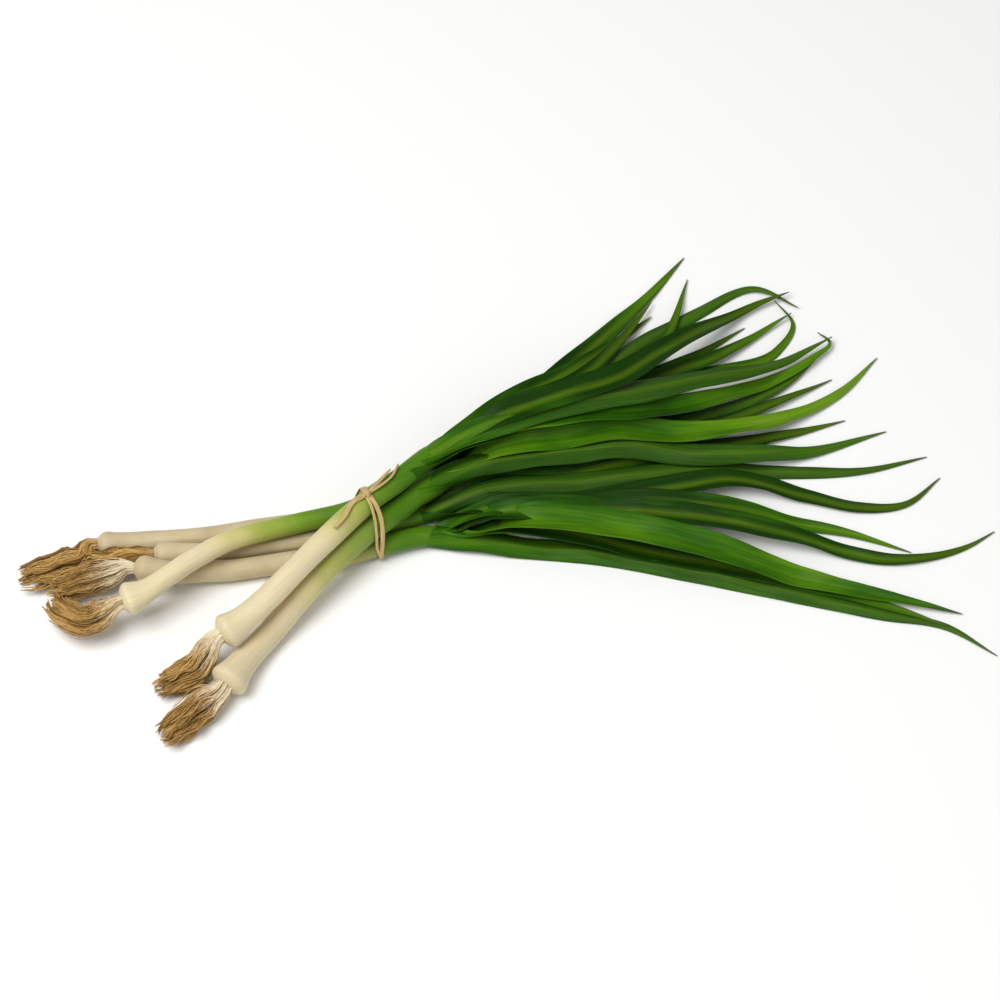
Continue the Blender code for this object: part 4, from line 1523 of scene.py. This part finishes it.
    def add_blade(self, sheet: Sheet, leaf: Leaf, index: int, path: np.ndarray, heights: np.ndarray,
                  foot: int) -> None:
        """Add one blade, rolled round the stem at its foot and open further out.

        Args:
            sheet: the mesh to add to.
            leaf: the blade's sizes.
            index: which blade of the onion it is.
            path: stations of its rib.
            heights: height of the rib at each station.
            foot: station of the stem that it leaves at.
        """
        rng = random.Random(1000 + 20 * self.stem.onion.number + index)
        rows = np.concatenate((np.arange(0, len(path) - 2, self.row_step), [len(path) - 1]))
        run = rows.astype(float)
        share = run / (len(path) - 1.0)
        across = np.linspace(-1.0, 1.0, self.columns)
        across = np.sign(across) * np.abs(across) ** 1.15
        opened = smooth_step((run - 4.0) / self.opening)
        stem_radius = float(self.stem.radii[foot])
        half = self.width(leaf, len(path))[rows] / 2.0 - 0.3 * share**6
        half = half + (math.radians(self.wrap) * stem_radius - half) * (1.0 - smooth_step(run / 36.0))

        # Rolled at first, it lies on the stem and inside the sheaths before it. Then it flattens.
        turned = 180.0 if leaf.fold < 0.0 else 0.0
        start_roll = rng.uniform(35.0, 85.0) + turned * 0.45
        towards = self.side_it_leaves(path, foot)
        out_of_stem = smooth_step((run[:, None] - self.slant * (1.0 + towards * across[None, :])) / 14.0)
        round_stem = stem_radius - 0.75 + 1.05 * out_of_stem - 0.12 * index
        bend = (1.0 - opened)[:, None] / round_stem + opened[:, None] / self.channel
        angle = across[None, :] * half[:, None] * bend
        out = np.sin(angle) / bend
        up = (1.0 - np.cos(angle)) / bend
        tilt = math.tan(math.radians(abs(leaf.fold))) * opened
        up = up + np.abs(across)[None, :] * (half * tilt)[:, None]
        up = up + self.waves(rng, run, across, self.edge_wave * opened * (1.0 - share**3))
        up = up - up.max(axis=1)[:, None] * 0.5 * opened[:, None]
        up = up - round_stem * (1.0 - opened)[:, None]

        # The section turns about the rib, and rides from the stem's height to the heap's.
        roll = np.radians(towards * (start_roll * (1.0 - opened) + turned * opened))
        roll = roll + self.twist(leaf, len(path))[rows]
        cos_roll = np.cos(roll)[:, None]
        sin_roll = np.sin(roll)[:, None]
        turned_out = out * cos_roll - up * sin_roll
        turned_up = out * sin_roll + up * cos_roll
        normal_out = -np.sin(angle) * cos_roll - np.cos(angle) * sin_roll
        normal_up = -np.sin(angle) * sin_roll + np.cos(angle) * cos_roll
        side = side_of(path)[rows]
        leave = smooth_step((run - 5.0) / 40.0)
        along_stem = self.stem.heights[np.minimum(foot + rows, len(self.stem.heights) - 1)]
        level = along_stem * (1.0 - leave) + heights[rows] * leave
        middle = np.stack((path[rows, 0][:, None] + side[:, 0][:, None] * turned_out,
                           path[rows, 1][:, None] + side[:, 1][:, None] * turned_out,
                           level[:, None] + turned_up), axis=2)
        normal = np.stack((side[:, 0][:, None] * normal_out, side[:, 1][:, None] * normal_out,
                           normal_up), axis=2)
        upper, lower = self.thickness(across, half, share, opened)
        lowest = (middle[:, :, 2] - lower).min(axis=1)
        middle[:, :, 2] += np.maximum(0.05 - lowest, 0.0)[:, None]
        points, faces = strip(middle, np.stack((upper, lower)), normal)
        points[:, 2] = np.maximum(points[:, 2], 0.0)

        # Its marks: a pattern of its own, its greens with each blade's tone and painted shade, and a paler
        # lower face once it has unrolled.
        wide = (across[None, :] * half[:, None]).ravel()
        number = np.full(wide.shape, rng.uniform(0.0, 9.0))
        spots = np.column_stack((wide, np.repeat(run, self.columns), number))
        # The blade's tone shifts its green at random and, for blades low in the heap, darkens it as painted
        # shade.
        tone_and_painted_shade = leaf.tone + rng.uniform(-0.12, 0.16)
        grown = np.clip((self.stem.green(foot + run) - 0.68) / 0.32, 0.0, 1.0)
        green = np.repeat(0.6 * grown + (0.25 + tone_and_painted_shade) * smooth_step(run / 45.0), self.columns)
        unrolled = np.repeat(smooth_step((run - 12.0) / 60.0), self.columns)
        sheet.add(points, faces, np.concatenate((spots, spots)), slot=1, green=np.tile(green, 2),
                  share=np.tile(np.repeat(share, self.columns), 2),
                  under=np.concatenate((np.zeros(len(wide)), unrolled)))


@dataclass
class RaffiaTie:
    """The raffia: two strands round the stems, a knot on top and three tails.

    Attributes:
        strands: offset along the bunch and width of each strand of the band.
        tails: width and places of each tail.
        knot: place of the knot.
        turns: heading in degrees, length and lift of each strip of the knot.
        knot_radius: half the width of the knot's strips.
        knot_flat: their height as a share of their width.
        knot_drop: how far their ends tuck under.
        thick: thickness of a strip.
        bulge: how far the strands slip forward over the front shoulder.
        tail_gap: height of a tail's middle over what it lies on.
        tail_bend: tightest bend of a tail.
        curl: how far a tail rolls to each side, in degrees.
        columns: points across a strip.
        stem_corners: corners of each stem's own outline.
        loop_points: points round a strand.
        knot_sides: corners of a ring of the knot's strips.
    """

    strands: tuple[tuple[float, float], ...] = ((-1.15, 1.3), (0.75, 2.0))
    tails: tuple[tuple[float, tuple[Place, ...]], ...] = (
        (1.6, ((-2, 5), (4, 13), (9, 20))),
        (1.4, ((-2, 5), (4, 10), (9.5, 16), (12.5, 23))),
        (2.4, ((-2, 5), (-8, 0.5), (-11.5, -7), (-16.5, -14.5))),
    )
    knot: Place = (-2.0, 5.0)
    turns: tuple[tuple[float, float, float], ...] = ((42.0, 5.4, 0.7), (-48.0, 4.6, 1.2), (5.0, 4.2, 1.5))
    knot_radius: float = 0.95
    knot_flat: float = 0.62
    knot_drop: float = 1.9
    thick: float = 0.45
    bulge: float = 2.6
    tail_gap: float = 0.9
    tail_bend: float = 60.0
    curl: float = 18.0
    columns: int = 7
    stem_corners: int = 48
    loop_points: int = 160
    knot_sides: int = 14

    def build(self, stems: list[Stem], heap: Heap, finish: bpy.types.Material) -> bpy.types.Object:
        """Make the tie.

        Args:
            stems: the stems it holds.
            heap: what its tails lie on.
            finish: the raffia's material.

        Returns:
            The finished piece.
        """
        sheet = Sheet()
        outline = self.outline(stems)
        for index, (offset, width) in enumerate(self.strands):
            self.add_loop(sheet, outline, offset, width, index)
        tops = heap.spread(np.maximum(heap.stem_map(), heap.blades))
        level = float(heap.look(tops, np.array(self.knot[0]), np.array(self.knot[1]))) + 0.6
        for index, (width, path) in enumerate(self.tails):
            level = max(level, self.add_tail(sheet, tops, heap, width, path, index))
        self.add_knot(sheet, level)
        piece = sheet.piece("raffia_band_and_knot", [finish])
        return mount(piece, "raffia_tie")

    def outline(self, stems: list[Stem]) -> np.ndarray:
        """Trace the stems' common outline in the band's plane.

        Args:
            stems: the stems.

        Returns:
            Even points across and up, in order round the outline.
        """
        spots = []
        for stem in stems:
            ahead = past_tie(stem.line[:, 0], stem.line[:, 1])
            for offset in (-BAND_WIDTH / 2.0, 0.0, BAND_WIDTH / 2.0):
                row = int(np.argmin(np.abs(ahead - offset)))
                step = stem.line[min(row + 1, len(stem.line) - 1)] - stem.line[row - 1]
                step = step / np.linalg.norm(step)
                slant = past_tie(step[0], step[1])
                across = -stem.line[row, 0] * math.sin(BAND_LEAN) + stem.line[row, 1] * math.cos(BAND_LEAN)
                for angle in np.linspace(0.0, FULL_TURN, self.stem_corners, endpoint=False):
                    grown = stem.radii[row] + BAND_GAP
                    spots.append((across + grown * math.cos(angle) / slant,
                                  stem.heights[row] + grown * math.sin(angle)))
        hull = self.hull(spots)
        closed = np.vstack((hull, hull[:1]))
        run = distances(closed)
        return read_rows(closed, np.linspace(0.0, run[-1], self.loop_points, endpoint=False), run)

    def hull(self, spots: list[tuple[float, float]]) -> np.ndarray:
        """Find the corners of the convex outline of flat points.

        Args:
            spots: the points.

        Returns:
            The corners in order.
        """
        ordered = sorted(spots)
        halves = []
        for run in (ordered, ordered[::-1]):
            half: list[tuple[float, float]] = []
            for spot in run:
                while len(half) > 1:
                    (ax, ay), (bx, by) = half[-2], half[-1]
                    if (bx - ax) * (spot[1] - ay) - (by - ay) * (spot[0] - ax) > 0.0:
                        break
                    half.pop()
                half.append(spot)
            halves.append(half[:-1])
        return np.array(halves[0] + halves[1])

    def add_loop(self, sheet: Sheet, outline: np.ndarray, offset: float, width: float,
                 index: int) -> None:
        """Add one strand of the band.

        Args:
            sheet: the mesh to add to.
            outline: the outline that it follows.
            offset: its middle's offset along the bunch.
            width: its width.
            index: which strand it is.
        """
        count = len(outline)
        ahead = np.roll(outline, -1, axis=0) - np.roll(outline, 1, axis=0)
        ahead /= np.linalg.norm(ahead, axis=1)[:, None]
        outward = np.column_stack((ahead[:, 1], -ahead[:, 0]))
        turn = np.linspace(0.0, FULL_TURN, count, endpoint=False)
        above = outline[:, 1] - outline[:, 1].mean()
        front = np.exp(-((outline[:, 0] + 4.0) / 7.0) ** 2) * smooth_step((above + 7.0) / 14.0)
        pinch = smooth_step(-above / 9.0) * smooth_step(-outline[:, 0] / 6.0)
        shift = offset * (1.0 - 0.75 * pinch) + 0.35 * np.sin(turn * 2.0 + index * 2.0)
        shift = shift + self.bulge * front * (0.6 + 0.4 * index)
        columns = np.linspace(-1.0, 1.0, self.columns)
        rings = []
        for depth in (0.0, 1.0):
            for column in (columns if depth else columns[::-1]):
                crown = 0.12 * (1.0 - column**2)
                out = self.thick * (depth * (0.75 + crown * 2.0)) + 0.05
                spot = outline + outward * out
                along = shift + column * width / 2.0
                rings.append(np.column_stack((
                    along * math.cos(BAND_LEAN) - spot[:, 0] * math.sin(BAND_LEAN),
                    along * math.sin(BAND_LEAN) + spot[:, 0] * math.cos(BAND_LEAN), spot[:, 1])))
        ring = np.stack(rings, axis=1)
        corners = ring.shape[1]
        points = ring.reshape(-1, 3)
        points[:, 2] = np.maximum(points[:, 2], 0.02)
        faces = []
        for row in range(count):
            for corner in range(corners):
                a = row * corners + corner
                b = row * corners + (corner + 1) % corners
                c = ((row + 1) % count) * corners
                faces.append((b, a, c + corner, c + (corner + 1) % corners))
        wide = np.concatenate((columns[::-1], columns)) * width / 2.0
        spots = np.column_stack((np.tile(wide, count), np.repeat(np.abs(turn - math.pi) * 14.0, corners),
                                 np.full(count * corners, 3.0 * index)))
        sheet.add(points, faces, spots)

    def add_tail(self, sheet: Sheet, tops: np.ndarray, heap: Heap, width: float,
                 path: tuple[Place, ...], index: int) -> float:
        """Add one loose end, lying on what is under it.

        Args:
            sheet: the mesh to add to.
            tops: height map of what it lies on.
            heap: the heap, which reads the map.
            width: its width.
            path: the places it passes.
            index: which tail it is.

        Returns:
            Its height at the knot.
        """
        line = smooth_line(path)
        side = side_of(line)
        needed = np.zeros(len(line))
        for share in (-0.6, 0.0, 0.6):
            spot = line + side * width * share
            needed = np.maximum(needed, heap.look(tops, spot[:, 0], spot[:, 1]))
        levels = drape(needed + self.tail_gap, self.tail_bend)
        run = np.arange(len(line), dtype=float)
        share = run / (len(line) - 1.0)
        columns = np.linspace(-1.0, 1.0, self.columns)
        half = 0.5 * width * (1.0 - 0.35 * share**4)
        curl = np.radians(self.curl) * np.sin(run / 5.0 + index * 2.0)
        out = columns[None, :] * half[:, None] * np.cos(curl)[:, None]
        up = columns[None, :] * half[:, None] * np.sin(curl)[:, None] - 0.25 * columns[None, :] ** 2
        middle = np.stack((line[:, 0][:, None] + side[:, 0][:, None] * out,
                           line[:, 1][:, None] + side[:, 1][:, None] * out,
                           levels[:, None] + up), axis=2)
        normal = np.zeros_like(middle)
        normal[:, :, 2] = 1.0
        half_thick = np.full(middle.shape[:2], self.thick / 2.0) * (1.0 - 0.5 * columns[None, :] ** 2)
        points, faces = strip(middle, np.stack((half_thick, half_thick)), normal)
        wide = (columns[None, :] * half[:, None]).ravel()
        spots = np.column_stack((wide, np.repeat(run, self.columns), np.full(wide.shape, 7.0 + index)))
        sheet.add(points, faces, np.concatenate((spots, spots)))
        return float(levels[0])

    def add_knot(self, sheet: Sheet, level: float) -> None:
        """Add the knot: strips that pass over each other and tuck under.

        Args:
            sheet: the mesh to add to.
            level: height of the strips where they enter it.
        """
        for index, (heading, length, lift) in enumerate(self.turns):
            turn = math.radians(heading)
            t = np.linspace(-1.0, 1.0, 15)
            line = np.column_stack((self.knot[0] + math.cos(turn) * t * length / 2.0,
                                    self.knot[1] + math.sin(turn) * t * length / 2.0,
                                    level + lift - self.knot_drop * np.abs(t) ** 2.2))
            radii = self.knot_radius * np.sqrt(np.clip(1.0 - np.abs(t) ** 3, 0.03, 1.0))
            points, faces, angles = tube(line, radii, self.knot_sides, flat=self.knot_flat)
            run = np.repeat(t * length, self.knot_sides)
            spots = np.column_stack((np.cos(angles), run, np.sin(angles) + 20.0 + index))
            sheet.add(points, faces, spots)


@dataclass
class Studio:
    """The camera of the photograph, soft light and a pale floor.

    Attributes:
        elevation: how far the camera looks down, in degrees.
        distance: distance to the bunch in metres.
        lens: focal length in millimetres.
        sensor: width of the sensor in millimetres.
        target: the point looked at, in metres.
        sky: strength of the even light all round.
        floor_colour: colour of the painted floor.
        floor_half: half the floor's side, in metres.
        floor_drop: how far the floor lies under the bunch, in metres, so that the two don't flicker.
    """

    elevation: float = 58.0
    distance: float = 2.544
    lens: float = 200.0
    sensor: float = 36.0
    target: tuple[float, float, float] = (-0.0042, -0.0091, 0.010)
    sky: float = 0.33
    floor_colour: str = "#F4F4F2"
    floor_half: float = 3.0
    floor_drop: float = 0.0004

    def build(self) -> None:
        """Set up the camera, the lights, the sky and the floor."""
        self.add_camera()
        self.add_light("key_softbox", power=29.0, size=1.1, place=(-0.7, -0.3, 1.6))
        self.add_light("fill_softbox", power=6.0, size=1.6, place=(1.2, -1.0, 1.0))
        self.add_sky()
        self.add_floor()

    def add_camera(self) -> None:
        """Look from the front, down on the bunch."""
        camera = bpy.data.objects.new("camera", bpy.data.cameras.new("camera"))
        bpy.context.scene.collection.objects.link(camera)
        camera.data.lens = self.lens
        camera.data.sensor_width = self.sensor
        tilt = math.radians(self.elevation)
        away = Vector((0.0, -math.cos(tilt), math.sin(tilt)))
        camera.location = Vector(self.target) + away * self.distance
        camera.rotation_euler = (math.pi / 2.0 - tilt, 0.0, 0.0)
        bpy.context.scene.camera = camera

    def add_light(self, name: str, power: float, size: float, place: tuple[float, float, float]) -> None:
        """Add a soft square light that faces the bunch.

        Args:
            name: the light's name.
            power: its power in watts.
            size: its side in metres.
            place: where it hangs.
        """
        light = bpy.data.lights.new(name, "AREA")
        light.shape = "SQUARE"
        light.size = size
        light.energy = power
        holder = bpy.data.objects.new(name, light)
        holder.location = place
        holder.rotation_euler = (-Vector(place)).to_track_quat("-Z", "Y").to_euler()
        bpy.context.scene.collection.objects.link(holder)

    def add_sky(self) -> None:
        """Surround the bunch with even white light."""
        world = bpy.data.worlds.new("studio_white")
        world.use_nodes = True
        back = world.node_tree.nodes["Background"]
        back.inputs["Color"].default_value = (1.0, 1.0, 1.0, 1.0)
        back.inputs["Strength"].default_value = self.sky
        bpy.context.scene.world = world
        bpy.context.scene.view_settings.view_transform = "Standard"

    def add_floor(self) -> None:
        """Lay the pale floor under the bunch."""
        mesh = bpy.data.meshes.new("studio_floor")
        half = self.floor_half
        mesh.from_pydata([(-half, -half, 0.0), (half, -half, 0.0), (half, half, 0.0), (-half, half, 0.0)],
                         [], [(0, 1, 2, 3)])
        floor = bpy.data.objects.new("studio_floor", mesh)
        floor.location.z = -self.floor_drop
        material = bpy.data.materials.new("painted_studio_floor")
        material.use_nodes = True
        shader = material.node_tree.nodes["Principled BSDF"]
        shader.inputs["Base Color"].default_value = linear(self.floor_colour)
        shader.inputs["Roughness"].default_value = 0.8
        mesh.materials.append(material)
        bpy.context.scene.collection.objects.link(floor)


def mount(piece: bpy.types.Object, node: str) -> bpy.types.Object:
    """Put a piece in the place of its solid.

    Args:
        piece: the piece.
        node: the solid it replaces.

    Returns:
        The piece.
    """
    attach(piece, "root")
    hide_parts(node)
    log.info("%s: %d faces", piece.name, len(piece.data.polygons))
    return piece


def main() -> None:
    """Lay the onions one on another, tie them, and set up the studio."""
    logging.basicConfig(level=logging.INFO, format="%(name)s %(message)s")
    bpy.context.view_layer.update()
    sheath = LivingSheath("onion_sheath_grown").make()
    blade = LeafBlade("onion_leaf_waxed").make()
    roots = RootFibre("onion_root_drying").make()
    raffia = SplitRaffia("raffia_split").make()
    heap = Heap()
    stems: list[Stem] = []
    for onion in ONIONS:
        stem = Stem.lay(onion, heap)
        Shank(stem).build(sheath)
        RootTuft(stem).build(heap, roots)
        LeafSpray(stem).build(heap, [sheath, blade])
        stems.append(stem)
    RaffiaTie().build(stems, heap, raffia)
    Studio().build()


if __name__ == "__main__":
    main()
